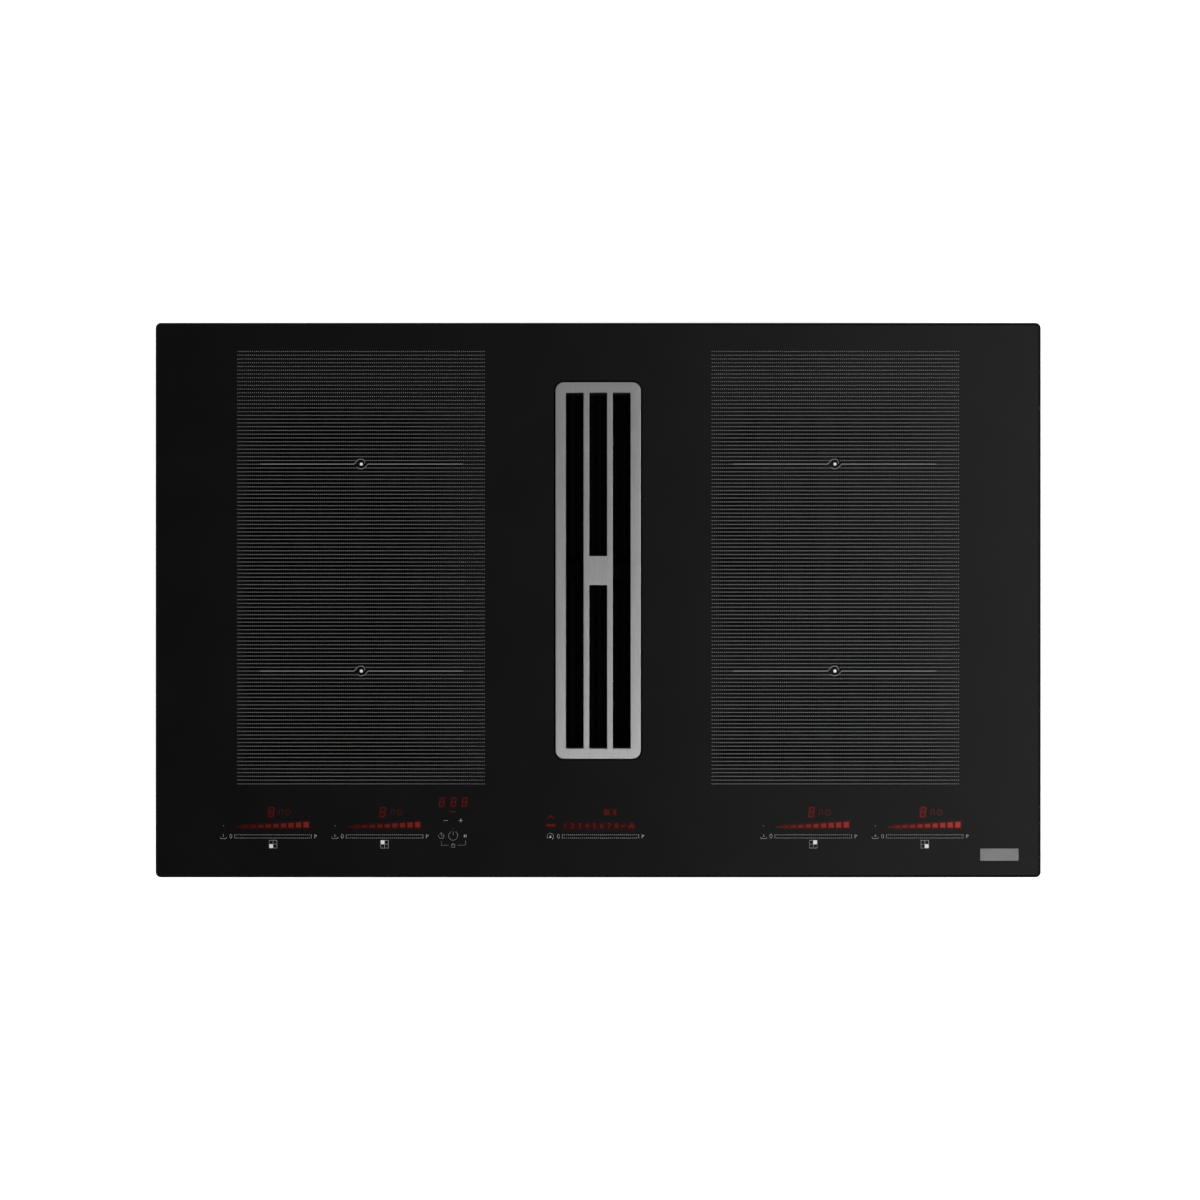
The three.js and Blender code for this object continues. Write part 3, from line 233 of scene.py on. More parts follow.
def edge_profile(low, high, foot, head, steps=3):
    """(grow, height) pairs up a wall whose lower and upper edges are rounded by foot and head."""
    pairs = [(0.0, low)] if foot == 0 else []
    for i in range(steps + 1 if foot else 0):
        angle = math.pi / 2 * i / steps
        pairs.append((-foot * (1 - math.sin(angle)), low + foot * (1 - math.cos(angle))))
    for i in range(steps + 1 if head else 0):
        angle = math.pi / 2 * i / steps
        pairs.append((-head * (1 - math.cos(angle)), high - head * (1 - math.sin(angle))))
    if head == 0:
        pairs.append((0.0, high))
    return pairs


def add_rings(mesh, rings, closed=False):
    """Quads between rings of as many points each, in millimetres; returns the rings' vertices."""
    made = [[mesh.verts.new(Vector(p) * MM) for p in ring] for ring in rings]
    pairs = list(zip(made, made[1:]))
    if closed:
        pairs.append((made[-1], made[0]))
    for lower, upper in pairs:
        for i in range(len(lower)):
            j = (i + 1) % len(lower)
            mesh.faces.new((lower[i], lower[j], upper[j], upper[i]))
    return made


def ring_edges(mesh, ring):
    return [mesh.edges.get((ring[i - 1], ring[i])) for i in range(len(ring))]


def lifted(outline, grow, height):
    return [(x, y, height) for x, y in outline(grow)]


def plate(outer, low, high, foot=0, head=0, holes=(), hole_foot=0, hole_head=0):
    """A flat plate with holes right through it, its edges rounded by foot and head."""
    mesh = bmesh.new()
    low_edges, high_edges = [], []
    loops = [(outer, 1, foot, head)]
    loops += [(hole, -1, hole_foot, hole_head) for hole in holes]
    for outline, sign, foot_edge, head_edge in loops:
        pairs = edge_profile(low, high, foot_edge, head_edge)
        rings = add_rings(mesh, [lifted(outline, sign * g, z) for g, z in pairs])
        low_edges += ring_edges(mesh, rings[0])
        high_edges += ring_edges(mesh, rings[-1])
    for edges in (low_edges, high_edges):
        bmesh.ops.triangle_fill(mesh, use_beauty=True, edges=edges)
    bmesh.ops.recalc_face_normals(mesh, faces=mesh.faces)
    return mesh


def stack(rings):
    """A solid through a pile of rings, with flat ends."""
    mesh = bmesh.new()
    made = add_rings(mesh, rings)
    mesh.faces.new(made[0])
    mesh.faces.new(made[-1])
    bmesh.ops.recalc_face_normals(mesh, faces=mesh.faces)
    return mesh


def tube(rings):
    """A solid through a pile of rings whose last one joins the first."""
    mesh = bmesh.new()
    add_rings(mesh, rings, closed=True)
    bmesh.ops.recalc_face_normals(mesh, faces=mesh.faces)
    return mesh


def ring(radius, height, sides=0, steps=24):
    """A circle about the Z axis, or a regular polygon traced with as many points."""
    points = []
    for i in range(steps):
        angle = 2 * math.pi * i / steps
        reach = radius
        if sides:
            half = math.pi / sides
            reach *= math.cos(half) / math.cos(angle % (2 * half) - half)
        points.append((*around(0, 0, reach, angle), height))
    return points


def spun(levels):
    """A solid about the Z axis through (radius, height, sides) levels."""
    return stack([ring(*level) for level in levels])


def screw_head(radius=3.6, height=2.0):
    """A pan-head screw with a hexagon socket, standing on level 0."""
    shares = [(1, 0), (1, 0.35), (0.88, 0.8), (0.62, 1), (0.45, 1, 6), (0.45, 0.4, 6)]
    return spun([(share * radius, level * height, *sides) for share, level, *sides in shares])


def swage(length):
    """A long pressed bead along X, standing on level 0."""
    outline = rounded(length, SWAGE_WIDTH, SWAGE_WIDTH / 2 - 0.05)
    return plate(outline, -0.2, SWAGE_PROUD, head=0.95 * SWAGE_PROUD)


def baked(name, mesh):
    """Mesh data out of a bmesh, which is freed."""
    data = bpy.data.meshes.new(name)
    mesh.to_mesh(data)
    mesh.free()
    return data


def joined(meshes):
    """One bmesh out of several."""
    whole = bmesh.new()
    for part in meshes:
        data = baked("part", part)
        whole.from_mesh(data)
        bpy.data.meshes.remove(data)
    return whole


def turned(mesh, matrix, place=(0.0, 0.0, 0.0)):
    """The mesh turned by a matrix about the origin, then moved, in millimetres."""
    move = Matrix.Translation(Vector(place) * MM)
    bmesh.ops.transform(mesh, matrix=move @ matrix.to_4x4(), verts=mesh.verts)
    return mesh


def weigh_normals(thing):
    """Keeps flat faces flat in shading where they meet rounded edges."""
    weighted = thing.modifiers.new("weighted_normals", "WEIGHTED_NORMAL")
    weighted.mode = "FACE_AREA"
    weighted.weight = 100
    weighted.keep_sharp = True


def placed(name, data):
    made = bpy.data.objects.new(name, data)
    bpy.context.scene.collection.objects.link(made)
    return made


def evaluated(thing):
    """Mesh data of an object as its modifiers leave it."""
    bpy.context.view_layer.update()
    graph = bpy.context.evaluated_depsgraph_get()
    return bpy.data.meshes.new_from_object(thing.evaluated_get(graph))


def piece(name, mesh, slot, surface=None, body="cooktop", replaces=(), solid=True):
    """A finished object out of a bmesh, riding on a body, in the slot's material or a given one."""
    data = baked(name, mesh)
    data.shade_smooth()
    data.set_sharp_from_angle(angle=SMOOTH_ANGLE)
    data.materials.append(surface or SURFACES[slot])
    made = placed(name, data)
    if solid:
        weigh_normals(made)
    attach(made, body)
    if replaces:
        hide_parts(*replaces)
    return made


def cut(target, cutter_mesh):
    """Cuts a closed bmesh out of an object."""
    cutter = placed("cutter", baked("cutter", cutter_mesh))
    modifier = target.modifiers.new("cut", "BOOLEAN")
    modifier.operation = "DIFFERENCE"
    modifier.solver = "EXACT"
    modifier.object = cutter
    result = evaluated(target)
    target.modifiers.clear()
    target.data = result
    bpy.data.objects.remove(cutter)
    target.data.shade_smooth()
    target.data.set_sharp_from_angle(angle=SMOOTH_ANGLE)
    weigh_normals(target)


# --- materials ---


def fill_ramp(ramp, stops):
    """Sets a colour ramp from (place, value) pairs in rising order."""
    elements = ramp.elements
    elements.remove(elements[1])
    for i, (place, value) in enumerate(stops):
        element = elements.new(place) if i else elements[0]
        element.position = place
        element.color = (*value, 1) if isinstance(value, tuple) else (value, value, value, 1)


def feed(socket, value):
    """Links an input to an output, or sets it to a value."""
    if isinstance(value, bpy.types.NodeSocket):
        socket.id_data.links.new(value, socket)
    else:
        socket.default_value = value


def wire(node, **inputs):
    """Feeds a node's inputs by name, with _ for a space."""
    for name, value in inputs.items():
        feed(node.inputs[name.replace("_", " ")], value)
    return node


class Surface:
    """A Principled material whose colour, roughness and relief come from textures in metres."""

    def __init__(self, name, metallic=0.0, specular=0.5):
        self.material = bpy.data.materials.new(name)
        self.material.use_nodes = True
        self.tree = self.material.node_tree
        self.shader = self.tree.nodes["Principled BSDF"]
        wire(self.shader, Metallic=metallic, Specular_IOR_Level=specular)
        self.coordinates = self.add("ShaderNodeTexCoord")

    def add(self, kind, **inputs):
        return wire(self.tree.nodes.new(kind), **inputs)

    def mapped(self, stretch=(1, 1, 1), shift=(0, 0, 0), turn=0.0):
        node = self.add("ShaderNodeMapping", Scale=stretch, Location=shift, Rotation=(0, 0, turn))
        return wire(node, Vector=self.coordinates.outputs["Object"]).outputs["Vector"]

    def noise(self, scale, stretch=(1, 1, 1), detail=4.0):
        node = self.add("ShaderNodeTexNoise", Vector=self.mapped(stretch), Scale=scale)
        return wire(node, Detail=detail, Roughness=NOISE_ROUGHNESS).outputs["Fac"]

    def cells(self, scale, feature="F1", output="Color", stretch=(1, 1, 1)):
        node = self.add("ShaderNodeTexVoronoi")
        node.feature = feature
        return wire(node, Vector=self.mapped(stretch), Scale=scale).outputs[output]

    def wave(self, scale, turn=0.0, kind="BANDS", shift=(0, 0, 0)):
        node = self.add("ShaderNodeTexWave")
        node.wave_type = kind
        if kind == "RINGS":
            node.rings_direction = "Z"
        place = self.mapped(turn=turn, shift=shift)
        return wire(node, Vector=place, Scale=scale).outputs["Fac"]

    def math(self, operation, first, second):
        node = self.add("ShaderNodeMath")
        node.operation = operation
        feed(node.inputs[0], first)
        feed(node.inputs[1], second)
        return node.outputs["Value"]

    def ramp(self, factor, stops):
        """Colours or greys along a factor; stops are (place, value) pairs."""
        node = self.add("ShaderNodeValToRGB", Fac=factor)
        fill_ramp(node.color_ramp, stops)
        return node.outputs["Color"]

    def drift(self, scale, low, high):
        """A tone that wanders between two values over a noise."""
        return self.ramp(self.noise(scale), [(0.3, low), (0.7, high)])

    def colour(self, socket):
        wire(self.shader, Base_Color=socket)

    def roughness(self, socket):
        wire(self.shader, Roughness=socket)

    def relief(self, height, depth, strength=1.0):
        """The material, with bump from a height of 0 to 1 that stands for depth millimetres."""
        bump = self.add("ShaderNodeBump", Height=height, Strength=strength, Distance=depth * MM)
        wire(self.shader, Normal=bump.outputs["Normal"])
        return self.material


def moulded(name, dark, light, rough=(0.45, 0.6), grain=1800, depth=0.012, specular=0.4):
    """Moulded plastic: a fine spark-eroded grain and slow changes of tone."""
    made = Surface(name, specular=specular)
    made.colour(made.drift(30, dark, light))
    made.roughness(made.drift(60, *rough))
    return made.relief(made.noise(grain, detail=2), depth)


def rolled_metal(name, dark, light, rough, stretch, grain=900, depth=0.006):
    """Metal with a directional rolling or brushing grain."""
    made = Surface(name, metallic=1.0)
    lines = made.noise(grain, stretch=stretch, detail=3)
    made.colour(made.ramp(lines, [(0.25, dark), (0.75, light)]))
    made.roughness(made.drift(45, *rough))
    return made.relief(lines, depth)


def galvanised():
    """Hot-dip zinc: crystals a few millimetres across, each with its own tone and gloss."""
    made = Surface("zinc_steel", metallic=0.85)
    crystal = made.add("ShaderNodeSeparateColor", Color=made.cells(210))
    tone = made.math("MULTIPLY", crystal.outputs["Red"], 0.6)
    tone = made.math("ADD", tone, made.math("MULTIPLY", made.noise(500), 0.4))
    made.colour(made.ramp(tone, [(0.1, (0.34, 0.35, 0.36)), (0.9, (0.45, 0.46, 0.465))]))
    made.roughness(made.ramp(crystal.outputs["Green"], [(0.0, 0.4), (1.0, 0.52)]))
    return made.relief(made.cells(210, "DISTANCE_TO_EDGE", "Distance"), 0.01, 0.3)


def black_glass():
    made = Surface("black_glass")
    made.colour(made.drift(14, 0.0024, 0.0034))
    made.roughness(made.drift(25, 0.035, 0.06))
    return made.material


def ground_glass_edge():
    made = Surface("ground_glass_edge", specular=0.06)
    made.colour(made.drift(400, 0.0015, 0.003))
    made.roughness(made.drift(900, 0.3, 0.45))
    return made.relief(made.noise(2500, detail=2), 0.004)


def foam():
    made = Surface("seal_foam", specular=0.2)
    made.colour(made.drift(700, 0.006, 0.02))
    made.roughness(made.drift(300, 0.85, 0.98))
    return made.relief(made.cells(1400, "F1", "Distance"), 0.15, 0.8)


def expanded_mesh_painted_shade():
    """Black-coated aluminium mesh: two sets of crossing strands with gaps between them. The gaps
    are painted shade, and the strands are also painted near black, darker than a black coating, for
    the shade down in the intake throat.
    """
    made = Surface("expanded_mesh_painted_shade", specular=0.1)
    first = made.wave(105, turn=math.radians(60))
    second = made.wave(105, turn=math.radians(-60))
    strand = made.math("MAXIMUM", first, second)
    # Painted shade: near-black gaps and barely lighter strands stand in for the shade under the
    # grille's slots.
    made.colour(made.ramp(strand, [(0.55, 0.0005), (0.8, 0.004)]))
    made.roughness(made.drift(300, 0.5, 0.65))
    return made.relief(strand, 0.5)


def litz_winding(name, x, y):
    """Copper litz laid in turns about a coil's centre, in millimetres."""
    made = Surface(name, metallic=0.6)
    turns = made.wave(126, kind="RINGS", shift=(-x * MM, -y * MM, 0))
    made.colour(made.ramp(turns, [(0.1, (0.07, 0.022, 0.008)), (0.8, (0.45, 0.17, 0.07))]))
    made.roughness(made.drift(200, 0.4, 0.55))
    return made.relief(turns, 0.6)


def circuit_board():
    made = Surface("circuit_board")
    tracks = made.cells(130, "F1", "Distance", stretch=(1, 3, 1))
    lacquer = [(0.0, (0.02, 0.1, 0.045)), (0.32, (0.008, 0.05, 0.022))]
    made.colour(made.ramp(tracks, lacquer + [(0.4, (0.012, 0.075, 0.03))]))
    made.roughness(made.drift(90, 0.3, 0.45))
    return made.relief(tracks, 0.08, 0.5)


def speckled(name, dark, light, scale, rough):
    """Fired, pressed or woven insulators."""
    made = Surface(name, specular=0.4)
    made.colour(made.ramp(made.noise(scale), [(0.35, dark), (0.65, light)]))
    made.roughness(made.drift(scale / 3, *rough))
    return made.relief(made.noise(scale * 2), 0.03)


def ink(name, level):
    """Screen-printed ceramic ink, a little uneven in cover."""
    made = Surface(name, specular=0.3)
    made.colour(made.drift(500, level * 0.9, level * 1.1))
    made.roughness(made.drift(300, 0.3, 0.45))
    return made.material


def lamp_red(name, start, end):
    """Red display segments behind the glass, brighter from start to end across the piece."""
    made = Surface(name, specular=0.34)
    made.colour(made.drift(300, (0.006, 0.001, 0.001), (0.008, 0.002, 0.002)))
    made.roughness(made.drift(25, 0.04, 0.07))
    first, last = [tuple(c * level for c in LED) for level in (start, end)]
    glow = (*first, 1)
    if end != start:
        split = made.add("ShaderNodeSeparateXYZ", Vector=made.coordinates.outputs["Generated"])
        glow = made.ramp(split.outputs["X"], [(0.0, first), (1.0, last)])
    wire(made.shader, Emission_Color=glow, Emission_Strength=1.0)
    return made.material


# Every slot's own material
SURFACES = dict(
    black_glass=black_glass(),
    seal_foam=foam(),
    satin_metal=rolled_metal(
        "satin_metal",
        (0.355, 0.355, 0.352),
        (0.425, 0.425, 0.422),
        (0.42, 0.46),
        (1, 0.03, 1),
        grain=1500,
        depth=0.003,
    ),
    pad_rubber=moulded("pad_rubber", 0.008, 0.014, (0.8, 0.95), 900, 0.03, 0.2),
    black_plastic=moulded("black_plastic", 0.016, 0.024),
    dark_plastic=moulded("dark_plastic", 0.03, 0.045),
    # The filter's mesh carries painted shade.
    filter_aluminium=expanded_mesh_painted_shade(),
    zinc_steel=galvanised(),
    bare_aluminium=rolled_metal(
        "bare_aluminium", (0.6, 0.61, 0.62), (0.74, 0.75, 0.76), (0.28, 0.4), (0.04, 1, 1)
    ),
    motor_winding=litz_winding("motor_winding", *BLOWER),
    mica_sheet=speckled("mica_sheet", (0.32, 0.27, 0.19), (0.62, 0.55, 0.42), 260, (0.5, 0.7)),
    sensor_ceramic=speckled(
        "sensor_ceramic", (0.66, 0.63, 0.56), (0.8, 0.78, 0.72), 900, (0.5, 0.7)
    ),
    circuit_board=circuit_board(),
    terminal_plastic=moulded("terminal_plastic", (0.5, 0.48, 0.43), (0.6, 0.58, 0.52)),
)

# Materials beside the slots' own
glass_edge = ground_glass_edge()
# Painted shade: a plastic far darker and duller than the black plastic, for the intake collar and
# filter handle down in the throat, so that the throat renders as black as its shade.
throat_plastic_painted_shade = moulded("throat_plastic_painted_shade", 0.001, 0.0016, (0.75, 0.9), specular=0.02)
filter_plastic = moulded("filter_plastic", 0.009, 0.014, (0.5, 0.65), specular=0.3)
plated_steel = rolled_metal(
    "plated_steel", (0.5, 0.51, 0.52), (0.66, 0.67, 0.68), (0.22, 0.34), (1, 1, 0.2), 700
)
badge_metal = rolled_metal(
    "badge_metal", 0.165, 0.2, (0.5, 0.58), (0.03, 1, 1), grain=2500, depth=0.002
)
dot_ink = ink("dot_ink", 0.14)
grey_ink = ink("grey_ink", 0.16)
pale_ink = ink("pale_ink", 0.28)
white_ink = ink("white_ink", 0.56)


def smoothing():
    """A modifier group that shades a node smooth and keeps its edges sharp past an angle."""
    group = bpy.data.node_groups.new("smooth_by_angle", "GeometryNodeTree")
    for end in ("INPUT", "OUTPUT"):
        group.interface.new_socket("Geometry", in_out=end, socket_type="NodeSocketGeometry")
    make = group.nodes.new
    angle = make("GeometryNodeInputMeshEdgeAngle").outputs["Unsigned Angle"]
    soft = make("FunctionNodeCompare")
    soft.operation = "LESS_THAN"
    wire(soft, A=angle, B=SMOOTH_ANGLE)
    faces, edges = [make("GeometryNodeSetShadeSmooth") for _ in range(2)]
    faces.domain, edges.domain = "FACE", "EDGE"
    wire(faces, Geometry=make("NodeGroupInput").outputs[0])
    wire(edges, Geometry=faces.outputs[0], Shade_Smooth=soft.outputs["Result"])
    wire(make("NodeGroupOutput"), Geometry=edges.outputs[0])
    return group


def dress_nodes():
    """Every carried-over node gets its slot's material, eased edges and smooth round faces."""
    group = smoothing()
    slots = {s["node"]: s["material_slot"] for s in frame["record"]["subparts"]}
    for name, node in frame["nodes"].items():
        slot = slots[name]
        if slot == "coil_winding":
            low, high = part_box(name)
            middle = (low + high) / 2 / MM
            surface = litz_winding("winding_" + name, middle.x, middle.y)
        # The intake collar and filter handle down in the throat take the plastic with painted
        # shade.
        elif name in ("intake_collar", "filter_handle"):
            surface = throat_plastic_painted_shade
        elif name == "filter_frame":
            surface = filter_plastic
        elif name == "motor_shaft" or name.startswith("clamp"):
            surface = plated_steel
        else:
            surface = SURFACES[slot]
        node.data.materials.clear()
        node.data.materials.append(surface)
        flatten = node.modifiers.new("flat_faces", "DECIMATE")
        flatten.decimate_type = "DISSOLVE"
        flatten.angle_limit = math.radians(0.5)
        ease = node.modifiers.new("eased_edges", "BEVEL")
        ease.width = EASED_EDGE * MM
        ease.segments = 2
        ease.limit_method = "ANGLE"
        ease.angle_limit = math.radians(50)
        shade = node.modifiers.new("smooth_by_angle", "NODES")
        shade.node_group = group
        weigh_normals(node)


# --- glass plate and grille ---


def make_glass():
    width, drop = BEVEL
    outer = rounded(*PLATE, PLATE_RADIUS)
    mouth_size = (side + 2 * GRILLE_GAP for side in GRILLE)
    mouth = rounded(*mouth_size, GRILLE_RADIUS + GRILLE_GAP, y=GRILLE_Y)
    soft = GLASS_SOFT_EDGE
    outside = [
        (-soft, GLASS_UNDERSIDE),
        (0, GLASS_UNDERSIDE + soft),
        (0, GLASS_TOP - drop - soft),
        (-soft / 2, GLASS_TOP - drop),
        (-width + soft, GLASS_TOP - soft / 3),
        (-width, GLASS_TOP),
    ]
    inside = [(soft, GLASS_TOP), (0, GLASS_TOP - soft), (0, GLASS_UNDERSIDE)]
    rings = [lifted(outer, g, z) for g, z in outside] + [lifted(mouth, g, z) for g, z in inside]
    mesh = tube(rings)
    for face in mesh.faces:
        face.material_index = 0 if abs(face.normal.z) > 0.999 else 1
    made = piece("glass_top", mesh, "black_glass", replaces=["glass_plate"])
    made.data.materials.append(glass_edge)


def make_grille():
    outer = rounded(*GRILLE, GRILLE_RADIUS, y=GRILLE_Y, steps=12)
    half = (SLOT[1] - BRIDGE) / 2
    offset = (BRIDGE + half) / 2
    corner = SLOT_CORNER
    holes = [rounded(*SLOT, corner, x, GRILLE_Y, steps=2) for x in (-SLOT_PITCH, SLOT_PITCH)]
    for y in (GRILLE_Y - offset, GRILLE_Y + offset):
        holes.append(rounded(SLOT[0], half, corner, 0, y, steps=2))
    mesh = plate(outer, *GRILLE_SPAN, 0.5, 0.7, holes, hole_foot=0.2, hole_head=0.3)
    piece("intake_grille", mesh, "satin_metal", body="grille", replaces=["vent_grille"])


# --- print on the glass ---


class Print:
    """Flat shapes of ink on the glass, gathered into one piece; all places in millimetres."""

    def __init__(self, lift=INK_LIFT):
        self.mesh = bmesh.new()
        self.origin = (0.0, 0.0)
        self.height = GLASS_TOP + lift

    def at(self, x, y):
        self.origin = (x, y)
        return self

    def fill(self, points):
        ox, oy = self.origin
        places = [Vector((x + ox, y + oy, self.height)) * MM for x, y in points]
        face = self.mesh.faces.new([self.mesh.verts.new(place) for place in places])
        face.normal_update()
        if face.normal.z < 0:
            face.normal_flip()
        return self

    def bar(self, x, y, width, height):
        w, h = width / 2, height / 2
        return self.fill([(x - w, y - h), (x + w, y - h), (x + w, y + h), (x - w, y + h)])

    def spot(self, x, y, radius, sides=16):
        turn = 2 * math.pi / sides
        return self.fill([around(x, y, radius, i * turn) for i in range(sides)])

    def line(self, points, width, closed=False):
        """A line of even width with mitred corners."""
        count = len(points)
        sides = []
        for i, point in enumerate(points):
            before = points[i - 1] if closed or i > 0 else None
            after = points[(i + 1) % count] if closed or i < count - 1 else None
            normals = []
            for a, b in ((before, point), (point, after)):
                if a is not None and b is not None:
                    d = Vector((b[0] - a[0], b[1] - a[1])).normalized()
                    normals.append(Vector((-d.y, d.x)))
            mitre = sum(normals, Vector((0.0, 0.0))).normalized()
            reach = width / 2 / max(mitre.dot(normals[0]), 0.4)
            p = Vector(point)
            sides.append((tuple(p + mitre * reach), tuple(p - mitre * reach)))
        for i in range(count if closed else count - 1):
            (a, b), (c, d) = sides[i], sides[(i + 1) % count]
            self.fill([a, b, d, c])
        return self

    def arc(self, x, y, radius, start, end, width, steps=20):
        """An arc from start to end degrees."""
        angles = [math.radians(start + (end - start) * i / steps) for i in range(steps + 1)]
        return self.line([around(x, y, radius, angle) for angle in angles], width)

    def oval(self, width, height, stroke, steps=20):
        turns = [2 * math.pi / steps * i for i in range(steps)]
        points = [(width / 2 * math.cos(turn), height / 2 * math.sin(turn)) for turn in turns]
        return self.line(points, stroke, closed=True)

    def digit(self, text, x, y, height):
        """A plain digit out of Blender's own font, centred on a point."""
        curve = bpy.data.curves.new("digit", "FONT")
        curve.body = text
        curve.size = height * MM / DIGIT_SHARE
        curve.align_x, curve.align_y = "CENTER", "CENTER"
        holder = placed("digit", curve)
        data = evaluated(holder)
        ox, oy = self.origin
        data.transform(Matrix.Translation(Vector((x + ox, y + oy, self.height)) * MM))
        self.mesh.from_mesh(data)
        bpy.data.objects.remove(holder)
        bpy.data.curves.remove(curve)
        bpy.data.meshes.remove(data)
        return self

    def seven_segments(self, x, y, width, height, thick):
        """All seven segments of a display digit, centred on a point."""
        w, h, gap = width / 2, height / 2, thick * 0.18
        bars = []
        for level in (-h, 0, h):
            bars.append(((-w + gap, level), (w - gap, level)))
        for side in (-w, w):
            bars += [((side, gap), (side, h - gap)), ((side, -h + gap), (side, -gap))]
        for (ax, ay), (bx, by) in bars:
            along = Vector((bx - ax, by - ay)).normalized() * thick / 2
            across = Vector((-along.y, along.x))
            a, b = Vector((ax, ay)), Vector((bx, by))
            upper = [a, a + along + across, b - along + across]
            lower = [b, b - along - across, a + along - across]
            self.fill([(x + p.x + SLANT * p.y, y + p.y) for p in upper + lower])
        return self

    def finish(self, name, surface):
        piece(name, self.mesh, "black_glass", surface, solid=False)


def in_mark(x, y):
    """Whether a coil-centre mark takes a dot's place; x starts at the zone's middle."""
    for mark_y in MARK_Y:
        dy = y - mark_y
        if abs(dy) < ROW_PITCH / 2 and abs(x) < MARK_REACH:
            return True
        if math.hypot(x / 1.2, dy) < MARK_RADIUS + DOT_RADIUS:
            return True
    return False


def make_zone(side, sign):
    dots = Print()
    for row in range(ROW_COUNT):
        y = ZONE_Y + (row - (ROW_COUNT - 1) / 2) * ROW_PITCH
        for column in range(DOT_COUNT):
            x = (column - (DOT_COUNT - 1) / 2) * DOT_PITCH
            if not in_mark(x, y):
                dots.spot(sign * ZONE_X + x, y, DOT_RADIUS, DOT_SIDES)
    dots.finish("zone_dots_" + side, dot_ink)

    lines, centres = Print(), Print()
    for y in MARK_Y:
        lines.at(sign * MARK_X, y)
        for reach, bend in ((-MARK_REACH, MARK_UPPER), (MARK_REACH, MARK_LOWER)):
            points = [(reach, 0)] + [(px * MARK_RADIUS, py * MARK_RADIUS) for px, py in bend]
            lines.line(points[:2], 0.4)
            lines.line(points[1:], 0.28)
        centres.at(sign * MARK_X, y).spot(0, 0, MARK_DOT, 20)
    lines.finish("zone_marks_" + side, pale_ink)
    centres.finish("zone_centres_" + side, white_ink)


def slider(ticks, marks, start, span=SLIDER_SPAN):
    """Two ticked rows, a nought before them and a plain pennant after them."""
    ticks.at(start, 0)
    for i in range(SLIDER_TICKS):
        x = span[0] + (span[1] - span[0]) * i / (SLIDER_TICKS - 1)
        for y in SLIDER_ROWS:
            ticks.bar(x, y, *TICK)
    for x in span:
        ticks.bar(x, SLIDER_MIDDLE, 0.4, 3.2)
    marks.at(start + span[0] - 3.7, SLIDER_MIDDLE + 0.15).oval(2.0, 3.6, 0.3)
    marks.at(start + span[1] + 3.2, SLIDER_MIDDLE).bar(0, 0, 0.4, 3.6)
    marks.line([(0.1, 1.6), (1.9, 0.8), (0.1, -0.2)], 0.36)


def warm_mark(marks, start):
    """A tray with an arrow down into it."""
    marks.at(start + TRAY_PLACE[0], TRAY_PLACE[1])
    marks.line([(-3.0, -0.4), (-2.6, -1.9), (2.6, -1.9), (3.0, -0.4)], 0.25)
    marks.line([(0, 2.3), (0, 0.1)], 0.24)
    marks.line([(-0.7, 0.7), (0, 0), (0.7, 0.7)], 0.22)


def zone_mark(marks, filled, start, quarter):
    """A square in four quarters, the given one filled."""
    place = (start + ZONE_ICON_PLACE[0], ZONE_ICON_PLACE[1])
    half, stroke, fill = ZONE_ICON_HALF, 0.25, ZONE_ICON_FILL
    square = [(-half, -half), (half, -half), (half, half), (-half, half)]
    marks.at(*place).line(square, stroke, closed=True)
    marks.line([(-half, 0), (half, 0)], stroke)
    marks.line([(0, -half), (0, half)], stroke)
    filled.at(*place).bar(quarter[0] * half / 2, quarter[1] * half / 2, fill, fill)


def wedge_level(x):
    """The height that the display bars reach at a place along them."""
    low, high = WEDGE_RISE
    return WEDGE_FOOT + low + (high - low) * x / (WEDGE_PITCH * (WEDGE_BARS - 1))


def wedge(start):
    """Ten display bars that grow to the right."""
    bars = Print().at(start + WEDGE_START, 0)
    for i in range(WEDGE_BARS):
        left, right = i * WEDGE_PITCH - WEDGE_BAR / 2, i * WEDGE_PITCH + WEDGE_BAR / 2
        upper = [(right, wedge_level(right)), (left, wedge_level(left))]
        bars.fill([(left, WEDGE_FOOT), (right, WEDGE_FOOT), *upper])
    return bars


def halo(start):
    """The dim light in the glass round a zone's bars and digit."""
    glow = Print(HALO_LIFT).at(start + WEDGE_START, 0)
    left = WEDGE_BAR / 2
    right = WEDGE_PITCH * (WEDGE_BARS - 1) + WEDGE_BAR / 2 + HALO
    foot = WEDGE_FOOT - HALO
    upper = [(right, wedge_level(right) + HALO), (left, wedge_level(left) + HALO)]
    glow.fill([(left, foot), (right, foot), *upper])
    glow.at(start, 0).bar(*DIGIT_PLACE, DIGIT[0] + 1.6 * HALO, DIGIT[1] + 1.6 * HALO)
    return glow


def zone_digit(start):
    return Print().at(start, 0).seven_segments(*DIGIT_PLACE, *DIGIT, DIGIT_STROKE)


def side_marks(start):
    """A pan and a clock beside the zone's digit."""
    marks = Print().at(start, 0)
    marks.line([(42.0, -201.5), (42.4, -196.6), (45.0, -196.6), (45.3, -201.5)], 0.6)
    marks.arc(50.2, -199.0, 2.5, 0, 360, 0.6)
    marks.line([(50.2, -199.0), (50.2, -197.4)], 0.6)
    return marks


